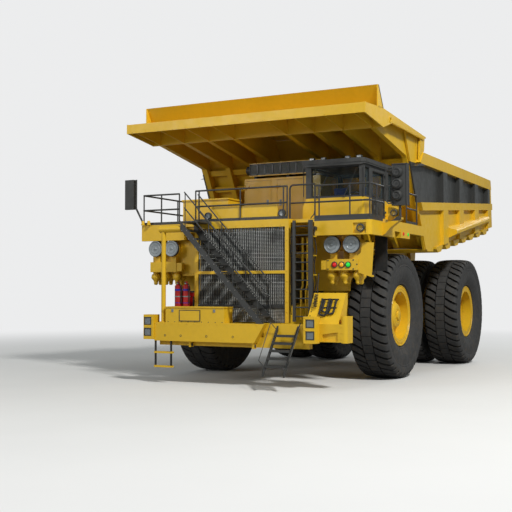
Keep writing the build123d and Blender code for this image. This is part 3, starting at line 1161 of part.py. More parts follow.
def side_post(y, x):
    """Post that widens towards the floor."""
    low = FLOOR_T - 1 - FIT
    z = TOP_RAIL_Z[0] + 1
    wide = min(y + POST_LOW_W, 9370)
    return side_prism([(y, z), (min(y + POST_TOP_W, tail_y(z)), z), (wide, floor_z(wide, low)),
                       (y, floor_z(y, low))], x)


def deflector(s):
    """Shelf over the rear tyres: it narrows aft and follows the floor's slope."""
    inner = PANEL_X + PANEL_T - 1
    def section(y, out):
        z = floor_z(y) + 465
        tip = BED_HALF_W + out
        ring = [(inner, z), (tip - 30, z - 110), (tip, z - 150), (tip, z - 235), (inner, z - 420)]
        return Plane(origin=(0, y, 0), x_dir=(1, 0, 0),
                     z_dir=(0, -1, 0)) * Polygon(*[(s * a, b) for a, b in ring], align=None)
    first, last = POSTS[0] + POST_LOW_W - 10, POSTS[3] + 10
    return loft([section(first, SHELF_OUT[0]), section(last, SHELF_OUT[1])])


def rail_nose(x):
    """Front end of the top rail, cut back up to the canopy's edge."""
    z0, z1 = TOP_RAIL_Z
    return side_prism([(660, z0 + 35), (700, z0), (wall_y(z0) + 120, z0 - 140), (1250, z0), (1250, z1),
                       (960, z1)], x)


def canopy_hanger(x):
    """Plate from the canopy's aft corner down to the front of the top rail."""
    z0, z1 = TOP_RAIL_Z
    return side_prism([(CANOPY_BACK, canopy_z(CANOPY_BACK) - 45),
                       (CANOPY_BACK - 420, canopy_z(CANOPY_BACK) - 90),
                       (700, z0 + 1), (1000, z1 - 10), (1120, z1 + 60)], x)


def body_side(side):
    """Side wall: sheet, rails, posts, lower skin and the deflector over the rear tyres."""
    s = side
    wall, outer = PANEL_X + PANEL_T, BED_HALF_W
    skin_x, post_x = (s * (wall - 1), s * (wall + SKIN_T)), (s * (wall - 1), s * outer)
    rail_x = (s * PANEL_X, s * outer)
    z0, z1 = TOP_RAIL_Z
    rail = side_prism([(1240, z1), (tail_y(z1), z1), (tail_y(z0), z0), (1240, z0)], rail_x)
    mid = side_prism([MID_RAIL[0], MID_RAIL[1], (MID_RAIL[1][0] + 30, mid_z(MID_RAIL[1][0], MID_RAIL_H)),
                      (MID_RAIL[0][0] + 160, mid_z(MID_RAIL[0][0], MID_RAIL_H))], post_x)
    parts = [side_wall((s * PANEL_X, s * wall)), lower_skin(skin_x), rail, mid, rail_nose(rail_x),
             deflector(s)]
    parts += [side_post(y, post_x) for y in POSTS]
    parts.append(canopy_hanger((s * (outer - PLATE - 60), s * (outer - PLATE - FIT))))
    return fuse(parts)


# ---- output ---------------------------------------------------------------------------------
def nodes():
    made = {
        "main_frame": main_frame(), "front_bumper": front_bumper(), "radiator": radiator(), "grille": grille(),
        "guard_hoop": guard_hoop(), "engine_block": engine_block(), "front_struts": front_struts(),
        "rear_axle": rear_axle(), "rear_struts": rear_struts(), "side_tanks": side_tanks(), "deck": deck(),
        "handrails": handrails(), "cab_base": cab_base(), "cab_frame": cab_frame(), "cab_glass": cab_glass(),
        "cab_interior": cab_interior(), "cab_door": cab_door(), "cab_door_glass": cab_door_glass(),
        "control_cabinet": control_cabinet(), "cabinet_door_right": cabinet_door(0),
        "cabinet_door_left": cabinet_door(1), "retard_grids": retard_grids(), "deck_box": deck_box(),
        "deck_box_lid": deck_box_lid(), "air_cleaners": air_cleaners(), "battery_box": battery_box(),
        "battery_lid": battery_lid(), "stairway": stairway(), "ladders": ladders(),
        "hanging_steps": hanging_steps(), "fire_bottles": fire_bottles(), "mirrors": mirrors(),
        "lamps": lamps(), "mudflaps": mudflaps(), "tie_rod": tie_rod(), "body_floor": body_floor(),
        "body_front_wall": body_front_wall(), "body_canopy": body_canopy(),
    }
    for name, s in (("left", 1), ("right", -1)):
        made.update({
            f"knuckle_{name}": knuckle(s), f"steering_barrel_{name}": steering_barrel(s),
            f"steering_rod_{name}": steering_rod(s), f"front_rim_{name}": front_rim(s),
            f"front_tyre_{name}": front_tyre(s), f"rear_rims_{name}": rear_rims(s),
            f"rear_tyres_{name}": rear_tyres(s), f"hoist_barrel_{name}": hoist_barrel(s),
            f"hoist_stage_{name}": hoist_stage(s), f"hoist_rod_{name}": hoist_rod(s),
            f"body_side_{name}": body_side(s)})
    return made


def write():
    os.makedirs("parts", exist_ok=True)
    for name, shape in nodes().items():
        export_step(Pos(0, FRONT_AXLE_Y, 0) * shape, f"parts/{name}.step")


write()
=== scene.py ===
"""Mining dump truck: paint and rubber, tyre tread, fasteners, lamps, seats, light and camera."""
import bpy, bmesh, math
from mathutils import Matrix, Vector


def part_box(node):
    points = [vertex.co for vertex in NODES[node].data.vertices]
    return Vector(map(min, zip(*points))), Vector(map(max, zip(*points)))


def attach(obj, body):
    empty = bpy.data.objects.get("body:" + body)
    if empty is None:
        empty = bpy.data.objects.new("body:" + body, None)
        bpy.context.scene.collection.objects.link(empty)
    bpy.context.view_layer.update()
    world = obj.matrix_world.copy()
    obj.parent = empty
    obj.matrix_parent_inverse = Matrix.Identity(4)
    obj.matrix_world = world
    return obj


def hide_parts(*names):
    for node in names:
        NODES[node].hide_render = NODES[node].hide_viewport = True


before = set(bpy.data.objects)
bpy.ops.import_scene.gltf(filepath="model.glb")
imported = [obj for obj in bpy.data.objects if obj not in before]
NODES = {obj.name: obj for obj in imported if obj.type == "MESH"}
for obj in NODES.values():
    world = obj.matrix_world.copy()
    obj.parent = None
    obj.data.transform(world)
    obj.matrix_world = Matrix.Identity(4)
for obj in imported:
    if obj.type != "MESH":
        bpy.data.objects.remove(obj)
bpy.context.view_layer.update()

PI, TAU = math.pi, math.tau
SIDES = (("left", 1), ("right", -1))


def lo_hi(node):
    """The low and high corners of a CAD node's box."""
    low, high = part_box(node)
    return Vector(low), Vector(high)


# All lengths are in metres. Stations count aft of the front axle, x is to the truck's left, z is up.
AXLE_Y = sum(lo_hi("front_tyre_left"), Vector()).y / 2
AXLE_Z = 1.7875
FRONT_WHEEL_X, OUTER_WHEEL_X, REAR_HUB_X = 2.82, 3.01, 2.34
INTAKE_Y = -3.27                 # front of the intake covers and the side lamps' box
HEADER_Y = -3.645                # front of the panel over the grille
BUMPER_Y = -4.5                  # front of the bumper and the battery box
LAMP_BOX_Y = -4.556              # front of the headlamp boxes
DECK_TOP = 4.46
WINDOWS = (5.042, 5.818)         # foot and top of the cab's panes
FORE, UP, DOWN = (0, -1, 0), (0, 0, 1), (0, 0, -1)


def st(y):
    """Row-frame Y of a station."""
    return AXLE_Y + y


def pt(x, y, z):
    """A point given by its station."""
    return Vector((x, st(y), z))


def ys(a, b):
    """The row-frame Y of two stations, as a box takes them."""
    return st(a), st(b)


# ---- camera
camera = bpy.data.objects.new("camera", bpy.data.cameras.new("camera"))
bpy.context.scene.collection.objects.link(camera)
camera.location = (12.157, -28.216, 2.524)
camera.rotation_euler = (math.radians(92.07), 0, math.radians(27.68))
camera.data.lens, camera.data.sensor_width = 66.17, 36
camera.data.clip_end = 400
bpy.context.scene.camera = camera
bpy.context.scene.view_settings.view_transform = "Standard"


# ---- shader graphs
class Graph:
    """A material's node tree. Each call adds a node and returns its output socket."""

    def __init__(self, name):
        self.material = bpy.data.materials.new(name)
        self.material.use_nodes = True
        self.tree = self.material.node_tree
        self.tree.nodes.clear()
        self.end = self.tree.nodes.new("ShaderNodeOutputMaterial")
        self.place = self.node("TexCoord", out="Object")
        self.xyz = self.node("SeparateXYZ", Vector=self.place).node.outputs

    def node(self, kind, out=0, props=(), **inputs):
        n = self.tree.nodes.new("ShaderNode" + kind)
        for key, value in dict(props).items():
            setattr(n, key, value)
        for key, value in inputs.items():
            self.feed(n.inputs[key.replace("_", " ")], value)
        return n.outputs[out]

    def feed(self, socket, value):
        if isinstance(value, bpy.types.NodeSocket):
            self.tree.links.new(value, socket)
        elif isinstance(value, tuple) and len(value) == 3 and socket.type == "RGBA":
            socket.default_value = (*value, 1)
        else:
            socket.default_value = value

    def put(self, kind, values, out=0, **props):
        """A node whose inputs are fed by their place: values in a row, or by number in a dict."""
        n = self.tree.nodes.new("ShaderNode" + kind)
        for key, value in props.items():
            setattr(n, key, value)
        for place, value in values.items() if isinstance(values, dict) else enumerate(values):
            self.feed(n.inputs[place], value)
        return n.outputs[out]

    def math(self, op, a, b=0.0, c=0.0, clamp=False):
        return self.put("Math", (a, b, c), operation=op, use_clamp=clamp)

    def noise(self, scale, detail=4.0, rough=0.5, at=None):
        return self.node("TexNoise", Vector=at or self.place, Scale=scale, Detail=detail, Roughness=rough)

    def span(self, x, a, b, low=0.0, high=1.0):
        return self.put("MapRange", (x, a, b, low, high), interpolation_type="SMOOTHSTEP")

    def above(self, x, edge, soft=0.006):
        return self.span(x, edge - soft, edge + soft)

    def times(self, *xs):
        out = xs[0]
        for x in xs[1:]:
            out = self.math("MULTIPLY", out, x)
        return out

    def mix(self, f, a, b):
        return self.put("Mix", {0: f, 6: a, 7: b}, 2, data_type="RGBA")

    def shift(self, colour, amount, by):
        """colour made lighter and darker by up to amount, following the 0..1 value by."""
        k = self.span(by, 0.25, 0.75, 1 - amount, 1 + amount * 0.6)
        return self.put("VectorMath", {0: colour, 3: k}, operation="SCALE")

    def less(self, x, edge, soft=0.006):
        return self.span(x, edge + soft, edge - soft)

    def band(self, x, low, high, soft=0.006):
        return self.times(self.above(x, low, soft), self.less(x, high, soft))

    def station(self):
        """Distance aft of the front axle."""
        return self.math("SUBTRACT", self.xyz[1], AXLE_Y)

    def wide(self):
        """Distance from the truck's middle plane."""
        return self.math("ABSOLUTE", self.xyz[0])

    def facing_up(self):
        normal = self.node("NewGeometry", out="Normal")
        return self.node("SeparateXYZ", out=2, Vector=normal)

    def bump(self, height, depth, strength=1.0, under=None):
        n = self.node("Bump", Height=height, Distance=depth, Strength=strength)
        if under is not None:
            self.feed(n.node.inputs["Normal"], under)
        return n

    def blend(self, f, a, b):
        """Ends the tree in a mix of the shaders a and b."""
        self.tree.links.new(self.put("MixShader", (f, a, b)), self.end.inputs[0])
        return self.material

    def finish(self, **sockets):
        self.tree.links.new(self.node("BsdfPrincipled", **sockets), self.end.inputs[0])
        return self.material


def srgb(r, g, b):
    """Linear colour from 0..255 display values."""
    return tuple((c / 255 / 12.92) if c <= 10 else ((c / 255 + 0.055) / 1.055) ** 2.4 for c in (r, g, b))


YELLOW = srgb(224, 180, 34)
GREY = srgb(58, 59, 58)
DUST = srgb(150, 128, 96)
STEEL = srgb(142, 140, 136)
RUBBER = srgb(62, 62, 62)
MUD = srgb(96, 84, 68)


def dusted(g, colour, amount=0.35, low=0.5, high=2.2):
    """colour under dust: more of it low down, on faces that look up, and in patches."""
    patches = g.span(g.noise(1.7, 6, 0.62), 0.42, 0.72)
    fine = g.span(g.noise(14, 5, 0.7), 0.35, 0.7)
    height = g.span(g.xyz[2], low, high, 1.0, 0.22)
    level = g.span(g.facing_up(), 0.2, 0.95, 0.35, 1.0)
    mask = g.times(patches, fine, height, level, amount)
    return g.mix(mask, colour, DUST), mask


def lozenges(g):
    """Raised pattern of tread plate, on faces that look up."""
    p, q = g.math("ADD", g.xyz[0], g.xyz[1]), g.math("SUBTRACT", g.xyz[0], g.xyz[1])
    wave = g.times(*(g.math("SINE", g.times(way, 75.0)) for way in (p, q)))
    return g.times(g.span(g.math("ABSOLUTE", wave), 0.45, 0.7), g.above(g.facing_up(), 0.9, 0.05))


def paint(name, colour, rough=0.42, dust=0.35, coat=0.12, masks=None, tread=False):
    """Sprayed paint on plate: faint cloudiness, orange peel, shallow dents and dust."""
    g = Graph(name)
    base = g.shift(colour, 0.06, g.noise(0.55, 3))
    base = g.shift(base, 0.03, g.noise(9, 4))
    if masks:
        base = masks(g, base)
    base, mask = dusted(g, base, dust)
    wear = g.span(g.noise(22, 8, 0.72), 0.70, 0.76)
    scuffs = g.times(wear, g.span(g.noise(2.3, 3), 0.5, 0.66), 0.7)
    base = g.mix(scuffs, base, g.shift(srgb(96, 84, 70), 0.2, g.noise(40)))
    shine = g.math("ADD", g.span(g.noise(5, 5), 0.3, 0.7, rough - 0.06, rough + 0.1), g.times(mask, 0.35), clamp=True)
    peel = g.bump(g.noise(160, 2), 0.0006, 0.25)
    dents = g.bump(g.noise(2.1, 3, 0.4), 0.012, 0.25, under=peel)
    if tread:
        dents = g.bump(lozenges(g), 0.004, 0.9, under=dents)
    return g.finish(Base_Color=base, Roughness=shine, Normal=dents, Coat_Weight=coat, Coat_Roughness=0.22,
                    Specular_IOR_Level=0.4)


def body_side_zones(g, base):
    """Dark panels between the top rail and the middle rail; worn plate inside the bed."""
    y, z = g.station(), g.xyz[2]
    (fore, low), (aft, high) = (0.70, 5.103), (9.30, 5.755)  # ends of the middle rail's top line
    slope = (high - low) / (aft - fore)
    rail = g.math("MULTIPLY_ADD", y, slope, low - fore * slope)
    over_rail = g.above(g.math("SUBTRACT", z, rail), 0.0)
    panel = g.times(over_rail, g.less(z, 6.255), g.above(g.wide(), 3.452), g.less(y, 8.97))
    base = g.mix(panel, base, GREY)
    return worn_load_face(g, base, g.less(g.wide(), 3.4405, 0.0003))


def worn_load_face(g, base, mask):
    """Plate scoured to bare metal where the load slides."""
    scratches = g.noise(1.0, 6, 0.7, at=g.node("Mapping", Vector=g.place, Scale=(26, 1.6, 26)))
    bare = g.mix(g.span(scratches, 0.35, 0.65), srgb(112, 104, 94), srgb(150, 141, 128))
    return g.mix(g.times(mask, g.span(g.noise(0.7, 5, 0.6), 0.28, 0.5, 0.55, 1.0)), base, bare)


def bed_floor_zones(g, base):
    return worn_load_face(g, base, g.times(g.above(g.facing_up(), 0.7, 0.05), g.less(g.wide(), 3.438)))


def front_wall_zones(g, base):
    inside = g.times(g.above(g.facing_up(), 0.3, 0.05), g.less(g.wide(), 3.438), g.above(g.station(), 0.2))
    return worn_load_face(g, base, inside)


def deck_zones(g, base):
    """Dark band along the top of the left deck's beam."""
    band = g.times(g.band(g.xyz[2], 4.33, 4.472), g.above(g.xyz[0], 2.06), g.less(g.station(), -2.57))
    return g.mix(band, base, GREY)


def step_zones(g, base):
    """Dark straps, bright treads."""
    z = g.xyz[2]
    treads = g.math("MAXIMUM", g.band(z, 0.428, 0.482), g.band(z, 0.808, 0.862))
    return g.mix(treads, g.shift(srgb(44, 44, 44), 0.1, g.noise(9)), base)


def grille_zones(g, base):
    """Dark bars and a dark foot rail behind the bright frame."""
    behind = g.math("MAXIMUM", g.above(g.station(), -3.69, 0.004), g.less(g.xyz[2], 2.14))
    bars = g.times(behind, g.less(g.wide(), 1.332))
    return g.mix(bars, base, srgb(42, 43, 43))


def rubber(name, colour=RUBBER):
    g = Graph(name)
    base = g.shift(colour, 0.16, g.noise(3.2, 6, 0.6))
    mud = g.times(g.span(g.noise(5.5, 8, 0.7), 0.48, 0.72), g.span(g.xyz[2], 0.2, 3.2, 0.55, 0.16))
    base = g.mix(mud, base, MUD)
    # painted shade: vertices marked as lying in a groove are darkened nearly to black
    base = g.mix(g.times(g.node("Attribute", out=2, props={"attribute_name": "hollow"}), 0.9), base, srgb(14, 14, 14))
    skin = g.bump(g.noise(90, 5, 0.6), 0.0035, 0.5)
    cuts = g.bump(g.noise(11, 6, 0.7), 0.012, 0.4, under=skin)
    rough = g.span(g.noise(8, 4), 0.3, 0.7, 0.62, 0.86)
    return g.finish(Base_Color=base, Roughness=rough, Normal=cuts, Specular_IOR_Level=0.35)


def chrome(name):
    g = Graph(name)
    base = g.shift(srgb(205, 206, 208), 0.08, g.noise(6, 4))
    streaks = g.noise(1.0, 4, 0.6, at=g.node("Mapping", Vector=g.place, Scale=(90, 90, 2)))
    rough = g.span(streaks, 0.3, 0.7, 0.09, 0.24)
    return g.finish(Base_Color=base, Roughness=rough, Normal=g.bump(streaks, 0.0004, 0.3), Metallic=1.0)


def bare_steel(name):
    g = Graph(name)
    base = g.shift(STEEL, 0.18, g.noise(4, 6, 0.6))
    base = g.mix(g.times(g.span(g.noise(12, 7, 0.7), 0.5, 0.75), 0.5), base, srgb(105, 84, 66))
    rough = g.span(g.noise(18, 5), 0.3, 0.7, 0.32, 0.58)
    return g.finish(Base_Color=base, Roughness=rough, Normal=g.bump(g.noise(45, 4), 0.0015, 0.4), Metallic=0.85)


def window(name):
    """Tinted cab glass: a thin gloss over what is behind, with faint patches of dust film, and a painted sheen: towards
    grazing angles the pane turns into its grey-blue gloss.
    """
    g = Graph(name)
    film = g.times(g.span(g.noise(3.5, 6, 0.6), 0.35, 0.8), 0.06)
    film = g.math("ADD", film, 0.02)
    rough = g.span(g.noise(20, 4), 0.4, 0.7, 0.02, 0.10)
    tint = g.mix(g.noise(2, 3), srgb(92, 106, 110), srgb(112, 124, 126))
    glass = g.node("BsdfPrincipled", Base_Color=tint, Roughness=rough, Specular_IOR_Level=0.6)
    clear = g.node("BsdfTransparent", Color=srgb(246, 250, 250))
    # painted sheen and dust: the facing term paints a grey-blue sheen towards grazing angles in place of reflection,
    # and the film adds faint dust patches
    painted_sheen_and_dust_film = g.math("ADD", g.times(g.node("LayerWeight", out="Facing", Blend=0.3), 0.16), film, clamp=True)
    return g.blend(painted_sheen_and_dust_film, clear, glass)


def lamp_lens(name, colour, glow=0.15):
    g = Graph(name)
    ribs = g.node("TexWave", out=1, Vector=g.place, Scale=18.0, Distortion=0.0)
    base = g.shift(colour, 0.14, ribs)
    base = g.mix(g.times(g.span(g.noise(30, 5), 0.5, 0.75), 0.18), base, DUST)
    return g.finish(Base_Color=base, Roughness=g.span(g.noise(25, 4), 0.3, 0.7, 0.12, 0.28), Coat_Weight=0.7,
                    Normal=g.bump(ribs, 0.0015, 0.5), Emission_Color=base, Emission_Strength=glow)


def fabric(name, colour):
    g = Graph(name)
    weave = g.math("MULTIPLY", g.node("TexWave", out=1, Vector=g.place, Scale=120.0),
                   g.node("TexWave", out=1, Vector=g.place, Scale=120.0, props={"bands_direction": "Z"}))
    base = g.shift(g.shift(colour, 0.12, g.noise(8, 5)), 0.2, weave)
    return g.finish(Base_Color=base, Roughness=g.span(g.noise(12), 0.3, 0.7, 0.8, 0.95),
                    Normal=g.bump(weave, 0.0015, 0.5), Sheen_Weight=0.35)


def screen(name):
    """Dark slats pierced with rows of small bright dots."""
    g = Graph(name)
    cell_z = g.math("FRACT", g.math("MULTIPLY", g.xyz[2], 27.0))
    dot = g.times(g.span(cell_z, 0.12, 0.26), g.span(cell_z, 0.74, 0.60))
    dot = g.times(dot, g.span(g.noise(2.2, 3), 0.3, 0.55, 0.35, 1.0))
    base = g.mix(dot, g.shift(srgb(30, 31, 32), 0.2, g.noise(6, 5)), srgb(206, 208, 204))
    base = g.mix(g.times(g.span(g.noise(1.3, 5), 0.45, 0.7), 0.12), base, DUST)
    rough = g.span(g.noise(20, 4), 0.3, 0.7, 0.4, 0.62)
    return g.finish(Base_Color=base, Roughness=rough, Normal=g.bump(dot, 0.003, 0.6), Metallic=0.3)


# ---- finishes of the CAD nodes
MIX = {
    "yellow_paint": paint("paint_yellow", YELLOW, dust=0.22),
    "dark_grey_paint": paint("paint_dark_grey", GREY, rough=0.5, dust=0.3, coat=0.1),
    "glass": window("cab_glass_tint"),
    "seat_fabric": fabric("seat_fabric_blue", srgb(38, 62, 140)),
    "tyre_rubber": rubber("tyre_rubber"),
    "chromed_rod": chrome("chromed_rod"),
    "red_paint": paint("paint_red", srgb(170, 22, 24), dust=0.2, coat=0.5),
    "lamp_glass": lamp_lens("lamp_lens_clear", srgb(128, 136, 140), 0.02),
    "flap_rubber": rubber("flap_rubber", srgb(40, 41, 42)),
    "bare_steel": bare_steel("bare_steel"),
    "cover_grey": paint("cover_grey", srgb(138, 146, 150), rough=0.35, dust=0.15, coat=0.4),
    "screen": screen("radiator_screen"),
}
ZONED = {
    "body_side_left": paint("paint_body_side", YELLOW, dust=0.12, masks=body_side_zones),
    "body_floor": paint("paint_bed_floor", YELLOW, masks=bed_floor_zones),
    "body_front_wall": paint("paint_front_wall", YELLOW, dust=0.2, masks=front_wall_zones),
    "deck": paint("paint_deck", YELLOW, masks=deck_zones, tread=True),
    "hanging_steps": paint("paint_steps", YELLOW, masks=step_zones),
    "grille": paint("paint_grille", YELLOW, masks=grille_zones),
}
ZONED["body_side_right"] = ZONED["body_side_left"]


for node_name, node in NODES.items():
    for entry in node.material_slots:
        old = entry.material.name if entry.material else ""
        look = ZONED.get(node_name) or next((mat for key, mat in MIX.items() if key in old), None)
        if look:
            entry.material = look
        else:
            print("UNMATCHED", node_name, old)


# ---- mesh building
def add_piece(name, verts, faces, body, material, slot, smooth=35, bevel=0.0, replaces=(), hollow=None):
    """A mesh object riding on a body; edges sharper than smooth degrees stay hard.

    The last argument, if given, holds one number a vertex, which the rubber reads to paint shade into its grooves.
    """
    mesh = bpy.data.meshes.new(name)
    mesh.from_pydata([tuple(v) for v in verts], [], faces)
    if hollow:
        mesh.attributes.new("hollow", "FLOAT", "POINT").data.foreach_set("value", hollow)
    bm = bmesh.new()
    bm.from_mesh(mesh)
    bmesh.ops.remove_doubles(bm, verts=bm.verts, dist=1e-5)
    bmesh.ops.recalc_face_normals(bm, faces=bm.faces)
    limit = math.radians(smooth)
    for face in bm.faces:
        face.smooth = True
    for edge in bm.edges:
        edge.smooth = len(edge.link_faces) == 2 and edge.calc_face_angle(PI) < limit
    bm.to_mesh(mesh)
    bm.free()
    obj = bpy.data.objects.new(name, mesh)
    bpy.context.scene.collection.objects.link(obj)
    obj.data.materials.append(material)
    if bevel:
        m = obj.modifiers.new("edges", "BEVEL")
        m.width, m.segments, m.limit_method, m.angle_limit = bevel, 2, "ANGLE", math.radians(40)
    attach(obj, body)
    if replaces:
        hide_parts(*replaces)
    return obj


class Mesh:
    """Vertices and faces gathered from many small shapes into one piece."""

    def __init__(self):
        self.v, self.f = [], []

    def add(self, verts, faces):
        base = len(self.v)
        self.v += [Vector(p) for p in verts]
        self.f += [tuple(base + i for i in face) for face in faces]
        return self

    def box(self, x, y, z):
        corners = [(a, b, c) for a in sorted(x) for b in sorted(y) for c in sorted(z)]
        return self.add(corners, [(0, 1, 3, 2), (4, 6, 7, 5), (0, 4, 5, 1), (2, 3, 7, 6), (0, 2, 6, 4), (1, 5, 7, 3)])

    def ring(self, centre, axis, profile, segments=24, closed=False):
        """Turns a profile of (distance along the axis, radius) points about the axis through centre."""
        axis = Vector(axis).normalized()
        u = axis.orthogonal().normalized()
        w = axis.cross(u)
        centre = Vector(centre)
        n = len(profile)
        verts = [centre + axis * a + (u * math.cos(TAU * k / segments) + w * math.sin(TAU * k / segments)) * r
                 for k in range(segments) for a, r in profile]
        spans = n if closed else n - 1
        after = [(k + 1) % segments * n for k in range(segments)]
        faces = [(k * n + i, k * n + (i + 1) % n, after[k] + (i + 1) % n, after[k] + i)
                 for k in range(segments) for i in range(spans)]
        if not closed:
            for i, flip in ((0, False), (n - 1, True)):
                if profile[i][1] > 1e-6:
                    cap = [k * n + i for k in range(segments)]
                    faces.append(tuple(reversed(cap)) if flip else tuple(cap))
        return self.add(verts, faces)

    def collar(self, centre, axis, inner, outer, depth, segments):
        """A flat band about an axis."""
        return self.ring(centre, axis, [(0, inner), (0, outer), (depth, outer), (depth, inner)], segments, closed=True)

    def rod(self, a, b, r, segments=12):
        a, b = Vector(a), Vector(b)
        return self.ring(a, b - a, [(0, r), ((b - a).length, r)], segments)

    def bolt(self, at, axis, r, h=None):
        """Hexagon head on a washer."""
        h = h or r * 0.9
        self.ring(at, axis, [(-0.002, r * 1.45), (h * 0.22, r * 1.45), (h * 0.24, r * 1.3)], 16)
        return self.ring(at, axis, [(h * 0.2, r), (h * 0.85, r), (h, r * 0.85)], 6)

    def bolt_circle(self, centre, axis, radius, count, r, h=None, turn=0.0):
        axis = Vector(axis).normalized()
        u = axis.orthogonal().normalized()
        w = axis.cross(u)
        for k in range(count):
            t = TAU * (k + turn) / count
            self.bolt(Vector(centre) + (u * math.cos(t) + w * math.sin(t)) * radius, axis, r, h)
        return self

    def prism(self, ring, shift):
        """A flat outline swept by a vector."""
        ring = [Vector(p) for p in ring]
        n = len(ring)
        faces = [tuple(range(n)), tuple(reversed(range(n, 2 * n)))]
        faces += [(i, (i + 1) % n, n + (i + 1) % n, n + i) for i in range(n)]
        return self.add(ring + [p + Vector(shift) for p in ring], faces)

    def tube(self, points, r, segments=10):
        """Round tube through points, turned half way at each bend."""
        pts = [Vector(p) for p in points]
        up = None
        rings = []
        for i, p in enumerate(pts):
            before = (p - pts[i - 1]).normalized() if i else None
            after = (pts[i + 1] - p).normalized() if i + 1 < len(pts) else None
            way = ((before or after) + (after or before)).normalized()
            if up is None:
                up = way.orthogonal().normalized()
            side = way.cross(up).normalized()
            up = side.cross(way).normalized()
            turns = [TAU * k / segments for k in range(segments)]
            rings.append([p + (side * math.cos(t) + up * math.sin(t)) * r for t in turns])
        verts = [v for ring in rings for v in ring]
        faces = [(i * segments + k, i * segments + (k + 1) % segments, (i + 1) * segments + (k + 1) % segments,
                  (i + 1) * segments + k) for i in range(len(rings) - 1) for k in range(segments)]
        faces += [tuple(reversed(range(segments))), tuple(range(len(verts) - segments, len(verts)))]
        return self.add(verts, faces)

    def surround(self, across, up, through, w, h=None, along_x=True):
        """Four upright bars round a rectangle, w wide at its sides and h high at its foot and top."""
        (a0, a1), (z0, z1), h = across, up, h or w
        for a, b, c, d in ((a0, a1, z0, z0 + h), (a0, a1, z1 - h, z1), (a0, a0 + w, z0, z1), (a1 - w, a1, z0, z1)):
            flat = ((a, b), through) if along_x else (through, (a, b))
            self.box(*flat, (c, d))
        return self

    def piece(self, name, look, slot=None, body="chassis", **more):
        """Makes the piece; look is a key of MIX, or a material. The slot argument, and look in its place if none is
        given, is not used.
        """
        material = MIX[look] if isinstance(look, str) else look
        return add_piece(name, self.v, self.f, body, material, slot or look, **more)

    def slab(self, x, half, y, z):
        """A box centred on x."""
        return self.box((x - half, x + half), y, z)

    def side_plate(self, outline, x0, x1):
        """A plate with its outline in (station, height), between two distances from the middle plane."""
        return self.prism([(x0, st(y), z) for y, z in outline], (x1 - x0, 0, 0))


# ---- tyres
LUGS = 42
RIB = 0.14                       # half width of the centre rib
TREAD = [  # (half width, drop from the tyre's radius, groove depth) from the rib out to the shoulder
    (0.168, 0.003, 0.062), (0.23, 0.005, 0.064), (0.31, 0.010, 0.066), (0.39, 0.018, 0.066), (0.46, 0.030, 0.062),
    (0.505, 0.046, 0.052), (0.534, 0.078, 0.036), (0.549, 0.120, 0.020), (0.557, 0.165, 0.0)]
WALL = [  # (half width, radius) from under the shoulder to the bead
    (0.556, 1.560), (0.549, 1.500), (0.541, 1.470), (0.547, 1.455), (0.547, 1.437), (0.539, 1.425), (0.541, 1.36),
    (0.545, 1.28), (0.540, 1.20), (0.524, 1.12), (0.500, 1.05), (0.470, 0.985), (0.447, 0.945), (0.449, 0.925),
    (0.430, 0.906), (0.395, 0.900), (0.372, 0.886)]
CUT = (0.0, 0.020, 0.290, 0.310, 0.48, 0.65, 0.82)     # stations across one lug and its groove, in pitches


def lean(x):
    """How far round the grooves have run at half width x, in pitches."""
    t = max(0.0, (abs(x) - RIB) / (0.52 - RIB))
    return math.copysign(0.80 * (1.35 * t - 0.35 * t * t), x)


def tyre_mesh(x0, y0, z0, radius, outward):
    """Tread, shoulders and both walls as one closed skin."""
    left = [(-x, radius - d, radius - d - g, lean(-x)) for x, d, g in reversed(TREAD)]
    right = [(x, radius - d, radius - d - g, lean(x)) for x, d, g in TREAD]
    wall = [(x, r, r, lean(0.557)) for x, r in WALL]
    trench = [(-RIB - 0.022, radius - 0.058, radius - 0.062, 0), (-RIB - 0.004, radius - 0.056, radius - 0.06, 0)]
    rib = [(x, radius - drop, radius - drop - deep, 0)
           for x, drop, deep in ((-RIB, 0.001, 0.015), (-0.05, 0, 0.018), (0.05, 0, 0.018), (RIB, 0.001, 0.015))]
    # each row: (x, radius on the lug, radius in the groove, lean)
    rows = [(-x, r, q, -l) for x, r, q, l in reversed(wall)] + left + trench + rib
    rows += [(-x, r, q, 0) for x, r, q, _ in reversed(trench)] + right + wall
    columns = LUGS * len(CUT)
    verts, faces, hollow = [], [], []
    for x, top, low, l in rows:
        rib_row = abs(x) <= RIB + 1e-6
        for k in range(columns):
            lug, part = divmod(k, len(CUT))
            cut = CUT[part]
            if rib_row:
                cut = (0.0, 0.018, 0.06, 0.078, 0.40, 0.60, 0.80)[part]
            r = low if part in (1, 2) else top
            t = TAU * (lug + cut + l + (0.5 if x < 0 and not rib_row else 0.0)) / LUGS
            verts.append((x0 + outward * x, y0 - r * math.cos(t), z0 + r * math.sin(t) * outward * -1))
            # 1 marks a vertex in a groove, or in the trench beside the rib, where the rubber paints shade
            hollow.append(1.0 if top - r > 0.01 or abs(abs(x) - RIB - 0.013) < 0.01 else 0.0)
    n = columns
    for i in range(len(rows) - 1):
        for k in range(n):
            faces.append((i * n + k, i * n + (k + 1) % n, (i + 1) * n + (k + 1) % n, (i + 1) * n + k))
    # bore between the two beads
    last = (len(rows) - 1) * n
    faces += [(last + k, last + (k + 1) % n, (k + 1) % n, k) for k in range(n)]
    return verts, faces, hollow


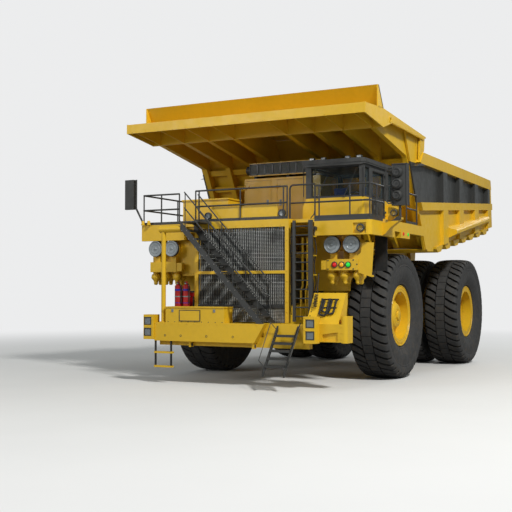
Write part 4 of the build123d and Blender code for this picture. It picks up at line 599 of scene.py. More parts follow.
def tyres():
    for side, sign in SIDES:
        lo, hi = lo_hi("front_tyre_" + side)
        c, r = (lo + hi) / 2, (hi.z - lo.z) / 2
        v, f, deep = tyre_mesh(c.x, c.y, c.z, r, sign)
        add_piece("tread_front_" + side, v, f, "front_wheel_" + side, MIX["tyre_rubber"], "tyre_rubber", 32,
                  replaces=("front_tyre_" + side,), hollow=deep)
        lo, hi = lo_hi("rear_tyres_" + side)
        c, r, w = (lo + hi) / 2, (hi.z - lo.z) / 2, 0.558
        m, both = Mesh(), []
        for x in (lo.x + w, hi.x - w):
            v, f, deep = tyre_mesh(x, c.y, c.z, r, sign)
            m.add(v, f)
            both += deep
        m.piece("tread_rear_" + side, "tyre_rubber", body="rear_wheels_" + side, smooth=32,
                replaces=("rear_tyres_" + side,), hollow=both)


tyres()


# ---- lamps, lenses and glass
def lens_face(m, at, axis, r, depth=0.03):
    """Dished reflector behind a low dome, seen as rings."""
    profile = ((0, 0.99), (1, 0.99), (1.1, 0.93), (0.5, 0.88), (0.42, 0.62), (0.75, 0.58), (0.45, 0.52), (0.4, 0.2),
               (0.95, 0.14), (1.2, 0))  # shares of the depth and of the radius
    m.ring(at, axis, [(depth * a, r * b) for a, b in profile], 40)


def lamp_pieces():
    """Intake covers, head, turn and roof lamps, and the coloured lamps of the left side and deck."""
    discs, bezels = Mesh(), Mesh()
    z = 3.71
    for sx in (1, -1):
        for x in (2.49, 3.03):
            lens_face(discs, pt(sx * x, INTAKE_Y, z), FORE, 0.224, 0.034)
            bezels.ring(pt(sx * x, INTAKE_Y, z), FORE, [(-0.05, 0.2255), (-0.05, 0.232), (0.02, 0.232), (0.03, 0.226)],
                        40, closed=True)
    discs.piece("intake_covers", "cover_grey", "lamp_glass", smooth=30)
    bezels.piece("intake_bands", "dark_grey_paint", smooth=30)

    clear, amber, frames = Mesh(), Mesh(), Mesh()
    for sx in (1, -1):  # headlamps in their square bays
        x0, x1 = sorted((sx * 2.312, sx * 2.545))
        for z0, z1 in ((1.277, 1.493), (1.577, 1.788)):
            y = st(LAMP_BOX_Y)
            clear.box((x0 + 0.02, x1 - 0.02), (y + 0.012, y + 0.05), (z0 + 0.02, z1 - 0.02))
            for k in range(7):
                x = x0 + 0.035 + (x1 - x0 - 0.07) * k / 6
                clear.slab(x, 0.006, (y + 0.006, y + 0.02), (z0 + 0.024, z1 - 0.024))
            frames.surround((x0, x1), (z0, z1), (y - 0.004, y + 0.052), 0.02)
            frames.box((x0, x1), (y + 0.045, y + 0.058), (z0, z1))
    for x, y, z, r in ((3.351, -3.456, 4.121, 0.096), (-1.06, HEADER_Y, 4.56, 0.097), (1.21, HEADER_Y, 4.56, 0.097),
                       (3.923, -2.52, 4.545, 0.082)):
        lens_face(clear if x < 2 else amber, pt(x, y, z), FORE, r * (1 if x < 2 else 0.76), 0.02)
        profile = ((-0.03, 0.72), (-0.03, 1.1), (0.022, 1.1), (0.026, 0.78), (0.0, 0.74))
        frames.ring(pt(x, y, z), FORE, [(a, r * b) for a, b in profile], 32, closed=True)
    for x in (1.66, 2.0, 2.7, 3.03):  # lamps along the cab roof's edge
        frames.slab(x, 0.07, ys(-2.72, -2.63), (6.03, 6.105))
        clear.slab(x, 0.058, ys(-2.728, -2.71), (6.042, 6.095))
    clear.piece("lamp_lenses", "lamp_glass", smooth=30)
    amber.piece("turn_lamps", lamp_lens("lens_amber", srgb(150, 122, 34), 0.0), "lamp_glass", smooth=30)
    frames.piece("lamp_frames", "dark_grey_paint", bevel=0.002)

    red, green = srgb(190, 10, 16), srgb(16, 205, 60)
    bezels = Mesh()
    for name, colour, x, z in (("red", red, 2.557, 3.184), ("amber", srgb(214, 148, 20), 2.756, 3.182),
                               ("green", green, 2.939, 3.18)):
        m = Mesh()
        m.ring(pt(x, INTAKE_Y, z), FORE, [(0, 0.062), (0.02, 0.06), (0.036, 0.05), (0.046, 0.03), (0.05, 0.0)], 28)
        m.piece("side_lamp_" + name, lamp_lens("lens_" + name, colour, 0.5), "lamp_glass", smooth=40)
        bezels.ring(pt(x, INTAKE_Y, z), FORE, [(-0.002, 0.064), (-0.002, 0.083), (0.022, 0.083), (0.026, 0.064)], 28,
                    closed=True)
    for x, z in ((2.37, 3.07), (2.37, 3.30), (3.08, 3.07), (3.08, 3.30), (3.18, 3.19)):
        bezels.bolt(pt(x, INTAKE_Y, z), FORE, 0.014)
    bezels.piece("side_lamp_bezels", "dark_grey_paint", smooth=40)
    for name, colour, y in (("red", red, -0.98), ("green", green, -0.59)):
        m = Mesh()
        m.ring(pt(3.66, y, 4.08), (1, 0, 0), [(0, 0.05), (0.014, 0.048), (0.024, 0.03), (0.028, 0.0)], 24)
        m.piece("deck_lamp_" + name, lamp_lens("deck_lens_" + name, colour, 0.4), "lamp_glass", smooth=40)


lamp_pieces()


# ---- radiator screen
def radiator_screen():
    """Fine upright slats in three fields, with their frame's bolts."""
    m = Mesh()
    y = st(-3.70)
    for z0, z1 in ((1.66, 2.045), (2.13, 2.96), (3.04, 4.20)):
        for x in (-1.31 + 2.62 * k / 47 for k in range(48)):
            m.prism([(x - 0.012, y + 0.012, z0), (x, y - 0.006, z0), (x + 0.012, y + 0.012, z0)], (0, 0, z1 - z0))
        rows = round((z1 - z0) / 0.116)
        for k in range(1, rows):
            z = z0 + (z1 - z0) * k / rows
            m.box((-1.325, 1.325), (y + 0.010, y + 0.016), (z - 0.004, z + 0.004))
    m.box((-1.325, 1.325), (y + 0.022, y + 0.03), (1.655, 2.052))
    m.piece("radiator_screen", "screen", "dark_grey_paint", smooth=20)
    b = Mesh()
    for x in (-1.39, 1.39):
        for k in range(9):
            b.bolt(pt(x, -3.72, 1.95 + k * 0.27), FORE, 0.016)
    for z in (4.255, 3.0):
        for k in range(10):
            b.bolt(pt(-1.2 + k * 0.267, -3.72, z), FORE, 0.013)
    b.piece("screen_bolts", "yellow_paint")


radiator_screen()


# ---- wheels
def rim_flange(m, c, out):
    """The rolled lip of a rim and its ring of clamp bolts."""
    m.ring(c + out * 0.398, out, [(0.0, 0.872), (0.012, 0.868), (0.014, 0.845), (0.0, 0.838)], 96, closed=True)
    m.bolt_circle(c + out * 0.4, out, 0.812, 36, 0.012, 0.014)


def wheel_pieces():
    """Bolt circles, hub caps and flanges of the wheels, and the front valves."""
    for side, sx in SIDES:
        c = pt(sx * FRONT_WHEEL_X, 0, AXLE_Z)
        out = Vector((sx, 0, 0))
        m = Mesh()
        m.bolt_circle(c + out * 0.06, out, 0.60, 30, 0.021, 0.03)
        m.bolt_circle(c + out * 0.155, out, 0.455, 20, 0.024, 0.034)
        m.bolt_circle(c + out * 0.33, out, 0.19, 12, 0.017)
        m.ring(c + out * 0.328, out, [(0, 0.13), (0.03, 0.13), (0.042, 0.11), (0.045, 0.0)], 32)
        m.ring(c + out * 0.398, out, [(0.0, 0.79), (0.009, 0.785), (0.009, 0.765), (0.0, 0.76)], 96, closed=True)
        rim_flange(m, c, out)
        m.piece("front_wheel_bolts_" + side, "yellow_paint", body="front_wheel_" + side, smooth=30)
        v = Mesh()
        v.tube([c + out * x + Vector((0, 0, z)) for x, z in ((0.33, 0.62), (0.385, 0.66), (0.40, 0.60))], 0.011, 8)
        v.piece("front_valve_" + side, "bare_steel", "chromed_rod", body="front_wheel_" + side)

        lo, hi = lo_hi("rear_rims_" + side)
        c = Vector((sx * OUTER_WHEEL_X, (lo.y + hi.y) / 2, AXLE_Z))
        mid = Vector((sx * REAR_HUB_X, c.y, c.z))
        m = Mesh()
        rim_flange(m, c, out)
        m.bolt_circle(mid + out * 0.045, out, 0.62, 36, 0.021, 0.03)
        m.bolt_circle(mid + out * 0.56, out, 0.33, 16, 0.019)
        m.ring(mid + out * 0.558, out, [(0, 0.17), (0.035, 0.165), (0.045, 0.14), (0.045, 0.0)], 40)
        m.bolt_circle(mid + out * 0.6, out, 0.10, 6, 0.014)
        for w in (0.012, 0.008):
            m.ring(c + out * 0.1, out, [(0, 0.691), (0, 0.691 - w), (0.03, 0.691 - w), (0.03, 0.691)], 64,
                   closed=True)
        m.piece("rear_wheel_bolts_" + side, "yellow_paint", body="rear_wheels_" + side, smooth=30)


wheel_pieces()


# ---- cab
def settle(obj, blown=True):
    """Applies what is on an object, after a short cloth run that swells it if blown."""
    scene = bpy.context.scene
    start = [v.co.copy() for v in obj.data.vertices]
    if blown:
        cloth = obj.modifiers.new("swell", "CLOTH")
        cloth.settings.use_pressure, cloth.settings.uniform_pressure_force = True, 4.0
        cloth.settings.effector_weights.gravity = 0
        cloth.point_cache.frame_start, cloth.point_cache.frame_end = 1, 20
        for frame_number in range(1, 21):
            scene.frame_set(frame_number)
    swollen = bpy.data.meshes.new_from_object(obj.evaluated_get(bpy.context.evaluated_depsgraph_get()))
    obj.modifiers.clear()
    if blown:
        for v, was in zip(swollen.vertices, start):
            move = v.co - was
            if move.length > 0.02:
                v.co = was + move.normalized() * 0.02
        scene.frame_set(1)
    old, obj.data = obj.data, swollen
    bpy.data.meshes.remove(old)


def cushion(name, centre, size, lean_back=0.0):
    """Sewn pad with crowned faces, its sides pulled in between the corners."""
    bm = bmesh.new()
    bmesh.ops.create_cube(bm, size=2)
    bmesh.ops.subdivide_edges(bm, edges=bm.edges, cuts=10, use_grid_fill=True)
    turn = Matrix.Rotation(lean_back, 3, "X")
    for v in bm.verts:
        u = v.co.copy()
        round_off = (abs(u.x) ** 6 + abs(u.y) ** 6 + abs(u.z) ** 6) ** (1 / 6)
        u /= round_off ** 0.8
        x = u.x * (1 - 0.05 * (1 - u.y ** 2))
        y = u.y * (1 - 0.05 * (1 - u.x ** 2))
        z = u.z * (1 + 0.22 * (1 - x * x) * (1 - y * y)) - (0.10 * abs(x) ** 4 if u.z > 0 else 0)
        v.co = turn @ Vector((x * size[0] / 2, y * size[1] / 2, z * size[2] / 2)) + Vector(centre)
    mesh = bpy.data.meshes.new(name)
    bm.to_mesh(mesh)
    bm.free()
    obj = bpy.data.objects.new(name, mesh)
    bpy.context.scene.collection.objects.link(obj)
    remesh = obj.modifiers.new("even", "REMESH")
    remesh.mode, remesh.voxel_size = "VOXEL", 0.010
    settle(obj, blown=False)
    settle(obj)
    obj.data.materials.clear()
    obj.data.materials.append(MIX["seat_fabric"])
    smoother = obj.modifiers.new("smooth", "SUBSURF")
    smoother.levels = smoother.render_levels = 1
    settle(obj, blown=False)
    for p in obj.data.polygons:
        p.use_smooth = True
    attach(obj, "chassis")
    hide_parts("cab_interior")
    return obj


def seam_loop(m, centre, half_x, half_y, lean_back):
    """Piping round the middle of a cushion."""
    turn = Matrix.Rotation(lean_back, 3, "X")
    pts = []
    for k in range(41):
        t = TAU * k / 40
        c, s = math.cos(t), math.sin(t)
        x, y = (math.copysign(abs(q) ** 0.35, q) for q in (c, s))
        x, y = x * (1 - 0.05 * (1 - y * y)), y * (1 - 0.05 * (1 - x * x))
        pts.append(Vector(centre) + turn @ Vector((x * half_x, y * half_y, 0)))
    m.tube(pts, 0.006, 8)


def cab_room():
    """Seat bases, arm rests, dash, steering wheel and console, and the seats' piping."""
    hard, soft = Mesh(), Mesh()
    for k, x in enumerate((2.70, 1.95)):
        y = st(-1.59)
        lean_back = math.radians(82)
        cushion("seat_pad_%d" % k, (x, y, 4.815), (0.49, 0.50, 0.125))
        cushion("seat_back_%d" % k, pt(x, -1.33, 5.165), (0.44, 0.54, 0.125), -lean_back)
        seam_loop(soft, (x, y, 4.815), 0.243, 0.248, 0)
        seam_loop(soft, pt(x, -1.33, 5.165), 0.218, 0.268, -lean_back)
        hard.ring((x, y, DECK_TOP), UP, [(0.0, 0.19), (0.03, 0.19), (0.04, 0.11), (0.22, 0.11), (0.23, 0.18),
                                         (0.26, 0.20), (0.285, 0.20)], 28)
        for dx in (-0.265, 0.265):  # arm rests
            hard.slab(x + dx, 0.02, (y - 0.05, y + 0.26), (4.99, 5.03))
            hard.slab(x + dx, 0.015, (y + 0.20, y + 0.25), (4.80, 5.0))
        hard.slab(x, 0.09, ys(-1.275, -1.25), (4.78, 5.38))
    dash = [(0, DECK_TOP), (0, 4.86), (0.06, 4.955), (0.13, 4.96), (0.30, 4.86), (0.305, 4.70), (0.20, 4.62),
            (0.18, DECK_TOP)]
    hard.side_plate([(a - 2.655, z) for a, z in dash], 1.76, 2.94)
    hard.side_plate([(-2.50, 4.93), (-2.48, 5.02), (-2.36, 5.035), (-2.36, 4.84)], 2.46, 2.92)
    for k in range(4):  # dials under the hood
        hard.ring(pt(2.54 + k * 0.10, -2.357, 4.95), (0, 1, 0.1),
                  [(0, 0.034), (0.008, 0.034), (0.008, 0.028), (0.003, 0.0)], 20)
    hard.rod(pt(2.70, -2.40, 4.70), pt(2.70, -2.19, 5.085), 0.032, 16)
    tilt = Vector((0, 0.35, 1)).normalized()
    side, front = Vector((1, 0, 0)), tilt.cross(Vector((1, 0, 0)))
    hub = pt(2.70, -2.18, 5.10)
    rim = [hub + (side * math.cos(TAU * k / 48) + front * math.sin(TAU * k / 48)) * 0.2 for k in range(49)]
    hard.tube(rim, 0.0155, 10)
    for t in (PI / 2, PI * 7 / 6, PI * 11 / 6):
        hard.tube([hub - tilt * 0.012, hub + (side * math.cos(t) + front * math.sin(t)) * 0.192], 0.010, 8)
    hard.ring(hub - tilt * 0.03, tilt, [(0, 0.04), (0.03, 0.05), (0.042, 0.03), (0.045, 0)], 24)
    hard.box((2.28, 2.36), ys(-1.95, -1.38), (DECK_TOP, 4.93))  # console between the seats
    hard.rod(pt(2.32, -1.86, 4.92), pt(2.31, -1.90, 5.09), 0.010)
    hard.ring(pt(2.31, -1.90, 5.08), (-0.05, -0.2, 1), [(0, 0.012), (0.02, 0.027), (0.05, 0.022), (0.055, 0)], 16)
    hard.piece("cab_fittings", "dark_grey_paint", smooth=40, replaces=("cab_interior",))
    soft.piece("seat_piping", "flap_rubber", smooth=60, replaces=("cab_interior",))


def cab_trim():
    """Window gaskets, wipers, handle, aerials and the visor."""
    gasket, dark, steel = Mesh(), Mesh(), Mesh()

    def pane(p, q, face, along_x):
        gasket.surround((p, q), WINDOWS, (face - 0.008, face + 0.008), 0.022, along_x=along_x)
    pane(1.585, 3.073, st(-2.712), True)
    pane(1.545, 3.073, st(-0.438), True)
    for fore, aft, x in ((-2.643, -2.327, 3.160), (-0.833, -0.527, 3.160), (-2.62, -0.53, 1.465)):
        pane(st(fore), st(aft), x, False)
    gasket.piece("window_gaskets", "flap_rubber")
    y = st(-2.745)
    for x in (1.85, 2.62):  # wipers
        a, b = Vector((x, y - 0.03, 5.03)), Vector((x + 0.25, y - 0.016, 5.52))
        root, blade = a + Vector((0, 0.03, -0.01)), Vector((0.10, 0, 0.21))
        dark.tube([root, a, b], 0.009, 8)
        dark.tube([b - blade, b + blade], 0.0085, 6)
        dark.ring(root, FORE, [(0, 0.028), (0.03, 0.026), (0.038, 0)], 16)
    for x, y, h in ((1.62, -0.62, 0.14), (3.0, -2.55, 0.12)):  # aerials
        steel.ring(pt(x, y, 6.03), UP,
                   [(0, 0.028), (0.02, 0.026), (0.035, 0.012), (0.05, 0.006), (h, 0.004), (h, 0)], 12)
    dark.box((1.50, 3.18), ys(-2.86, -2.835), (5.845, 5.875))
    for x in (1.45, 3.2):
        dark.tube([pt(x, -2.79, 5.05), pt(x, -2.79, 5.82)], 0.012, 8)
    dark.piece("cab_trim", "dark_grey_paint", smooth=40)
    steel.piece("cab_aerials", "bare_steel", "chromed_rod", smooth=40)
    m = Mesh()
    m.tube([pt(3.222, -2.06, 4.86), pt(3.262, -2.06, 4.88), pt(3.262, -2.06, 5.08), pt(3.222, -2.06, 5.10)], 0.011, 8)
    m.box((3.208, 3.222), ys(-2.10, -2.02), (4.70, 4.82))
    m.piece("door_handle", "bare_steel", "chromed_rod", body="door", smooth=40)
    m = Mesh()
    m.surround(ys(-2.08, -1.21), (WINDOWS[0], 5.756), (3.155, 3.167), 0.022, along_x=False)
    m.piece("door_gasket", "flap_rubber", body="door")


cab_room()
cab_trim()


# ---- mirrors
def mirror_heads():
    """Three round lens backs on the left head, its tube loop, and the glass of both heads."""
    pale, dark, glass = Mesh(), Mesh(), Mesh()
    y = st(-2.555)
    for z, r in ((5.60, 0.115), (5.30, 0.125), (4.99, 0.115)):
        dark.ring((4.03, y, z), FORE, [(-0.01, r + 0.03), (0.03, r + 0.028), (0.06, r + 0.005), (0.075, r)], 28)
        pale.ring((4.03, y, z), FORE,
                  [(0.07, r * 0.9), (0.085, r * 0.84), (0.088, r * 0.70), (0.072, r * 0.62), (0.078, 0)], 28)
    dark.tube([pt(4.02, -2.50, 5.74), pt(3.80, -2.58, 5.74), pt(3.735, -2.58, 5.66), pt(3.735, -2.58, 4.86),
               pt(3.80, -2.58, 4.79), pt(4.02, -2.50, 4.79)], 0.016, 10)
    dark.tube([pt(3.735, -2.58, 5.26), pt(3.92, -2.56, 5.26)], 0.013, 8)
    wide, high = (3.885, 4.305), (4.735, 5.835)
    for x, z in (((3.885, 3.915), high), ((4.275, 4.305), high), (wide, (4.735, 4.765)), (wide, (5.805, 5.835))):
        dark.box(x, ys(-2.572, -2.39), z)
    for z in ((4.78, 5.22), (5.26, 5.79)):
        glass.box((3.93, 4.265), ys(-2.405, -2.396), z)
    glass.box((-4.265, -4.005), ys(-2.94, -2.931), (4.95, 5.75))
    dark.piece("mirror_frames", "dark_grey_paint", smooth=40, bevel=0.006)
    pale.piece("mirror_lens_backs", paint("lens_back", srgb(34, 35, 36), rough=0.45, dust=0.1, coat=0.3),
               "dark_grey_paint", smooth=50)
    glass.piece("mirror_glass", "chromed_rod", bevel=0.004)


mirror_heads()


# ---- bottles, boxes and plates
def small_fittings():
    """The two bottles, the blank plate, latches and bolt heads."""
    blue, white, dark, steel, plate = Mesh(), Mesh(), Mesh(), Mesh(), Mesh()
    for x in (-1.88, -1.62):
        def at(dx, dy, z):
            return pt(x + dx, dy - 3.855, z)
        for z, w in ((2.50, 0.055), (2.16, 0.02)):
            blue.collar(at(0, 0, z), UP, 0.1052, 0.1068, w, 32)
        white.ring(at(0, 0, 2.66), UP, [(0, 0.03), (0.03, 0.034), (0.07, 0.03), (0.085, 0.0)], 20)
        dark.tube([at(0.02, -0.02, 2.70), at(0.09, -0.06, 2.69), at(0.125, -0.07, 2.60), at(0.125, -0.07, 2.16)],
                  0.013, 8)
        dark.tube([at(-0.02, -0.02, 2.73), at(0.0, -0.12, 2.745), at(0.02, -0.13, 2.72)], 0.009, 8)
        steel.collar(at(0, 0, 2.33), UP, 0.1052, 0.1085, 0.03, 32)
        steel.ring(at(0, -0.055, 2.70), (0, -1, 0.2), [(0, 0.02), (0.02, 0.02), (0.022, 0.0)], 16)
    blue.piece("bottle_bands", paint("band_blue", srgb(28, 34, 168), coat=0.4), "red_paint", smooth=40)
    white.piece("bottle_caps", "cover_grey", "lamp_glass", smooth=40)
    # blank number plate, latches and bolts on the battery box
    y = st(BUMPER_Y)
    x0, x1, z0, z1 = -1.43, -0.80, 1.70, 1.98
    plate.box((x0, x1), (y - 0.012, y), (z0, z1))
    plate.piece("blank_plate", "yellow_paint", bevel=0.003)
    for x in (x0 - 0.003, x1 + 0.003):
        dark.slab(x, 0.009, (y - 0.017, y - 0.002), (z0, z1))
    for z in (z0 - 0.003, z1 + 0.003):
        dark.box((x0 - 0.012, x1 + 0.012), (y - 0.017, y - 0.002), (z - 0.009, z + 0.009))
    for x in (-1.66, -0.36):
        steel.slab(x, 0.03, (y - 0.012, y), (1.93, 2.01))
        hoop = ((-0.015, 0.02, 1.95), (-0.015, 0.026, 2.0), (0.015, 0.026, 2.0), (0.015, 0.02, 1.95))
        steel.tube([(x + dx, y - dy, z) for dx, dy, z in hoop], 0.005, 6)
    for k in range(9):
        dark.bolt((-1.8 + k * 0.21, y, 1.672), FORE, 0.009)
    for side, x in (("right", -0.30), ("left", 0.12)):  # latches of the electrical cabinet's doors
        latch = Mesh()
        latch.slab(x, 0.035, ys(-1.512, -1.50), (4.98, 5.16))
        latch.tube([pt(x, -1.515, 5.13), pt(x, -1.545, 5.12), pt(x, -1.545, 5.0)], 0.010, 8)
        latch.piece("cabinet_latch_" + side, "cover_grey", "chromed_rod", body=side + "_cabinet_door", smooth=40,
                    bevel=0.002)
    dark.piece("small_hoses", "dark_grey_paint", smooth=40)
    steel.piece("latches", "cover_grey", "chromed_rod", smooth=40, bevel=0.002)


small_fittings()


# ---- hoses, pipes and grips
def wing_pipes():
    """Looped pipes and a coiled line on the sloping panel of the left wing, and hoses beside the ladder."""
    pipe, dark = Mesh(), Mesh()

    def on_panel(x, z, off):
        return Vector((x, st(-3.84 - (2.3 - z) * 0.665 - off), z))
    for x0, x1, top, low in ((2.50, 2.70, 2.27, 1.94), (2.56, 2.76, 2.22, 2.02), (2.69, 2.885, 2.26, 1.98)):
        r = (x1 - x0) / 2
        half_turn = [PI * k / 10 for k in range(11)]
        bend = [((x0 + x1) / 2 - r * math.cos(t), low - r * 0.55 * math.sin(t)) for t in half_turn]
        pts = [on_panel(x, z, 0.06) for x, z in ((x0, top), *bend, (x1, top))]
        dark.tube(pts, 0.024, 12)
        for p in (pts[0], pts[-1]):
            dark.ring(p - Vector((0, 0, 0.015)), UP, [(0, 0.034), (0.05, 0.034), (0.055, 0.028)], 14)
    for z in (2.29, 2.08):
        dark.tube([on_panel(2.47, z, 0.025), on_panel(2.92, z, 0.025)], 0.014, 8)
    for k in range(7):
        dark.bolt(on_panel(2.24, 1.76 + k * 0.105, 0.0), (0, -0.83, -0.55), 0.012)
    dark.tube([pt(2.36 + 0.045 * math.cos(k * 0.9), -3.98 - k / 600 + 0.045 * math.sin(k * 0.9), 2.42 - k * 0.0055)
               for k in range(61)], 0.009, 6)  # coiled line
    dark.tube([pt(2.36, -3.93, 2.44), pt(2.36, -3.90, 2.70), pt(2.30, -3.70, 2.95)], 0.016, 8)
    # lines down beside the ladder
    for k, (x, y) in enumerate(((1.50, -3.66), (1.56, -3.62), (2.13, -3.70), (2.18, -3.66))):
        sway = [pt(x + 0.03 * math.sin(j * 1.3 + k), y + 0.018 * math.cos(j * 0.9 + k), 4.18 - j * 0.165)
                for j in range(1, 15)]
        dark.tube([pt(x, y, 4.18), *sway], 0.0145 if k % 2 else 0.011, 8)
    for z in (3.9, 3.4, 2.9, 2.4):
        dark.box((1.47, 1.59), ys(-3.68, -3.60), (z, z + 0.03))
        pipe.box((2.10, 2.21), ys(-3.72, -3.64), (z, z + 0.03))
    for x, y, r in ((1.72, -3.55, 0.03), (1.83, -3.50, 0.022), (1.94, -3.55, 0.03)):
        pipe.tube([pt(x, y, 1.75), pt(x, y, 2.5), pt(x + 0.04, y + 0.02, 2.65), pt(x + 0.04, y + 0.02, 3.9)], r, 12)
    pipe.piece("wing_pipes", "yellow_paint", smooth=50)
    dark.piece("front_hoses", "flap_rubber", smooth=50)


def ladder_gate():
    """Hoop of rail that closes the deck beside the ladder, and the curved grip under it."""
    m = Mesh()
    y = st(-3.41)
    top, mid = 5.315, 4.835
    m.tube([(1.335, y, 4.41), (1.335, y, top - 0.09), (1.36, y, top - 0.03), (1.42, y, top), (2.06, y, top)],
           0.0245, 12)
    m.tube([(1.335, y, mid), (2.06, y, mid)], 0.0205, 12)
    m.tube([(2.055, y, 4.62), (2.04, y - 0.01, 4.52), (1.97, y - 0.02, 4.44), (1.93, y - 0.02, 4.36),
            (1.95, y - 0.01, 4.28)], 0.014, 8)
    for x in (1.335, 2.06):
        m.slab(x, 0.05, (y - 0.04, y + 0.04), (4.40, 4.415))
    m.piece("ladder_gate", "dark_grey_paint", smooth=40)


def dust_cups():
    """Rubber-tipped outlets under the air cleaners."""
    skirt, tip = Mesh(), Mesh()
    bell = [(0.0, 0.09), (0.02, 0.118), (0.10, 0.135), (0.125, 0.13), (0.20, 0.066), (0.24, 0.060), (0.24, 0.05)]
    cap = [(0.0, 0.055), (0.02, 0.062), (0.055, 0.052), (0.075, 0.038), (0.08, 0.0)]
    for sx in (1, -1):
        for x in (2.413, 2.780, 3.142):
            for y in (-3.09, -2.85):
                skirt.ring(pt(sx * x, y, 2.99), DOWN, bell, 24)
                tip.ring(pt(sx * x, y, 2.75), DOWN, cap, 20)
    skirt.piece("dust_cups", "yellow_paint", smooth=40)
    tip.piece("dust_cup_tips", "yellow_paint", smooth=40)


def treads():
    """Grip bars on the boarding ladder and the stair, and their fasteners."""
    m, b = Mesh(), Mesh()
    ay, az, by, bz = -4.3003, 1.60, lo_hi("ladders")[0].y - AXLE_Y, 0.48
    head, foot = (ay - 0.015, az - 0.06), (by - 0.005, bz - 0.04)
    for k in range(1, 6):
        y, z = (head[i] + (foot[i] - head[i]) * k / 6 for i in (0, 1))
        m.box((1.43, 1.975), ys(y - 0.07, y + 0.075), (z + 0.016, z + 0.024))
        m.box((1.43, 1.975), ys(y - 0.074, y - 0.066), (z - 0.03, z + 0.024))
        for j in range(13):
            m.slab(1.45 + j * 0.042, 0.008, ys(y - 0.065, y + 0.07), (z + 0.023, z + 0.031))
    for x in (1.40, 1.98):  # wide side plates over the stringers
        for dx in (-0.006, 0.026):
            m.side_plate([(ay, az + 0.012), (by, bz + 0.012), (by, bz - 0.12), (ay, az - 0.12)],
                         x + dx - 0.003, x + dx + 0.003)
    m.piece("ladder_treads", "dark_grey_paint")
    s = Mesh()
    (tx, tz), (fx, fz) = (-1.44, 4.40), (1.10, 1.65)
    for k in range(1, 12):
        t = k / 12
        x, z = tx + (fx - tx) * t, tz + (fz - tz) * t
        for j in range(6):
            s.slab(x - 0.18 + j * 0.043, 0.005, ys(-4.465, -3.775), (z - 0.032, z - 0.022))
        s.box((x + 0.036, x + 0.044), ys(-4.465, -3.775), (z - 0.07, z - 0.024))
        for y in (-4.487, -3.753):
            for dx in (-0.15, 0.0):
                b.bolt(pt(x + dx, y, z - 0.05), (0, -1 if y < -4 else 1, 0), 0.011)
    s.piece("stair_grips", "dark_grey_paint")
    b.piece("stair_bolts", "bare_steel", "chromed_rod")


wing_pipes()
ladder_gate()
dust_cups()
treads()


# ---- resistor grids
def grid_louvres():
    """Nine framed bays of louvres on the front of the grids, and the fan guard on their right end."""
    m, panel, edge = Mesh(), Mesh(), Mesh()
    x0, x1, y = -0.89, 1.38, lo_hi("retard_grids")[0].y
    z0, z1 = 5.90, 6.24
    bays = 9
    w = (x1 - x0) / bays
    for k in range(bays):
        a = x0 + k * w
        m.surround((a, a + w), (z0, z1), (y - 0.022, y + 0.001), 0.022, 0.03)
        for j in range(8):
            z = z0 + 0.045 + j * 0.034
            blade = ((y - 0.003, z), (y - 0.018, z - 0.012), (y - 0.016, z - 0.016), (y - 0.001, z - 0.002))
            panel.prism([(a + 0.022, *p) for p in blade], (w - 0.044, 0, 0))
    edge.box((x0 - 0.01, x1 + 0.01), (y - 0.03, y), (z1 - 0.004, z1 + 0.014))
    edge.box((x0 - 0.01, x1 + 0.01), (y - 0.026, y), (z0 - 0.03, z0 - 0.004))
    c = pt(-1.06, -1.30, 6.07)
    for r in (0.118, 0.09, 0.062, 0.034):
        m.collar(c, (-1, 0, 0), r - 0.008, r, 0.012, 28)
    for k in range(4):
        d = Vector((0, math.cos(PI * k / 4), math.sin(PI * k / 4))) * 0.12
        hub = c + Vector((-0.008, 0, 0))
        m.tube([hub - d, hub + d], 0.005, 6)
    m.piece("grid_frames", paint("grid_frame_black", srgb(24, 25, 25), dust=0.1), "dark_grey_paint")
    panel.piece("grid_louvres", paint("louvre_grey", srgb(112, 122, 122), dust=0.2), "dark_grey_paint")
    edge.piece("grid_edges", "yellow_paint")


grid_louvres()


# ---- dump body fittings
def bed_fittings():
    """Teeth, eye rings, end strips and lip bolts of the canopy, and weld beads on the posts."""
    m, weld = Mesh(), Mesh()
    for sx in (1, -1):
        x = sx * 3.645
        m.ring(pt(x, -1.96, 7.12), (sx, 0, 0), [(0, 0.055), (0.012, 0.058), (0.012, 0.088), (0, 0.09)], 28, closed=True)
        for k in range(34):  # teeth under the canopy's edge
            y = -1.72 + k * 0.08
            z = 7.058 + (7.0 - 7.058) * (y + 1.75) / 2.75
            m.side_plate([(y, z - 0.004), (y + 0.05, z - 0.004), (y + 0.04, z - 0.026), (y + 0.01, z - 0.026)],
                         x, x - sx * 0.03)
        m.box((x - sx * 0.04, x + sx * 0.010), ys(-3.853, -3.80), (7.005, 7.275))
        for y in (2.66, 3.61, 4.56, 5.51, 6.46):  # beads where the posts meet the rails
            weld.tube([pt(sx * 3.505, y - 0.004, 6.244), pt(sx * 3.64, y - 0.004, 6.244)], 0.007, 6)
    for k in range(8):  # bolts of the canopy lip
        for sx in (1, -1):
            m.bolt(pt(sx * (0.3 + k * 0.45), -3.85, 7.045), FORE, 0.012)
    m.piece("canopy_trim", "yellow_paint", body="bed", smooth=40)
    weld.piece("body_welds", "yellow_paint", body="bed", smooth=60)


bed_fittings()


# ---- closing plates of the bed
HALF_WIDTH = lo_hi("body_canopy")[1].x          # over the canopy's edges
WALL_X = HALF_WIDTH - 0.205                     # inner face of the side walls
SHEET = 0.040
SPILL = ((-2.90, 7.90), (-2.54, 7.34))          # front of the spill board, top and foot
CANOPY_AFT = (1.18, 7.09)                       # canopy sheet at its aft corner
WALL_LINE = ((0.0, 6.42), (1.35, 4.06))         # outer line of the front wall's stiffeners


def canopy_z(y):
    """Height of the canopy sheet at a station."""
    (y0, z0), (y1, z1) = SPILL[1], CANOPY_AFT
    return z0 + (z1 - z0) * (y - y0) / (y1 - y0)


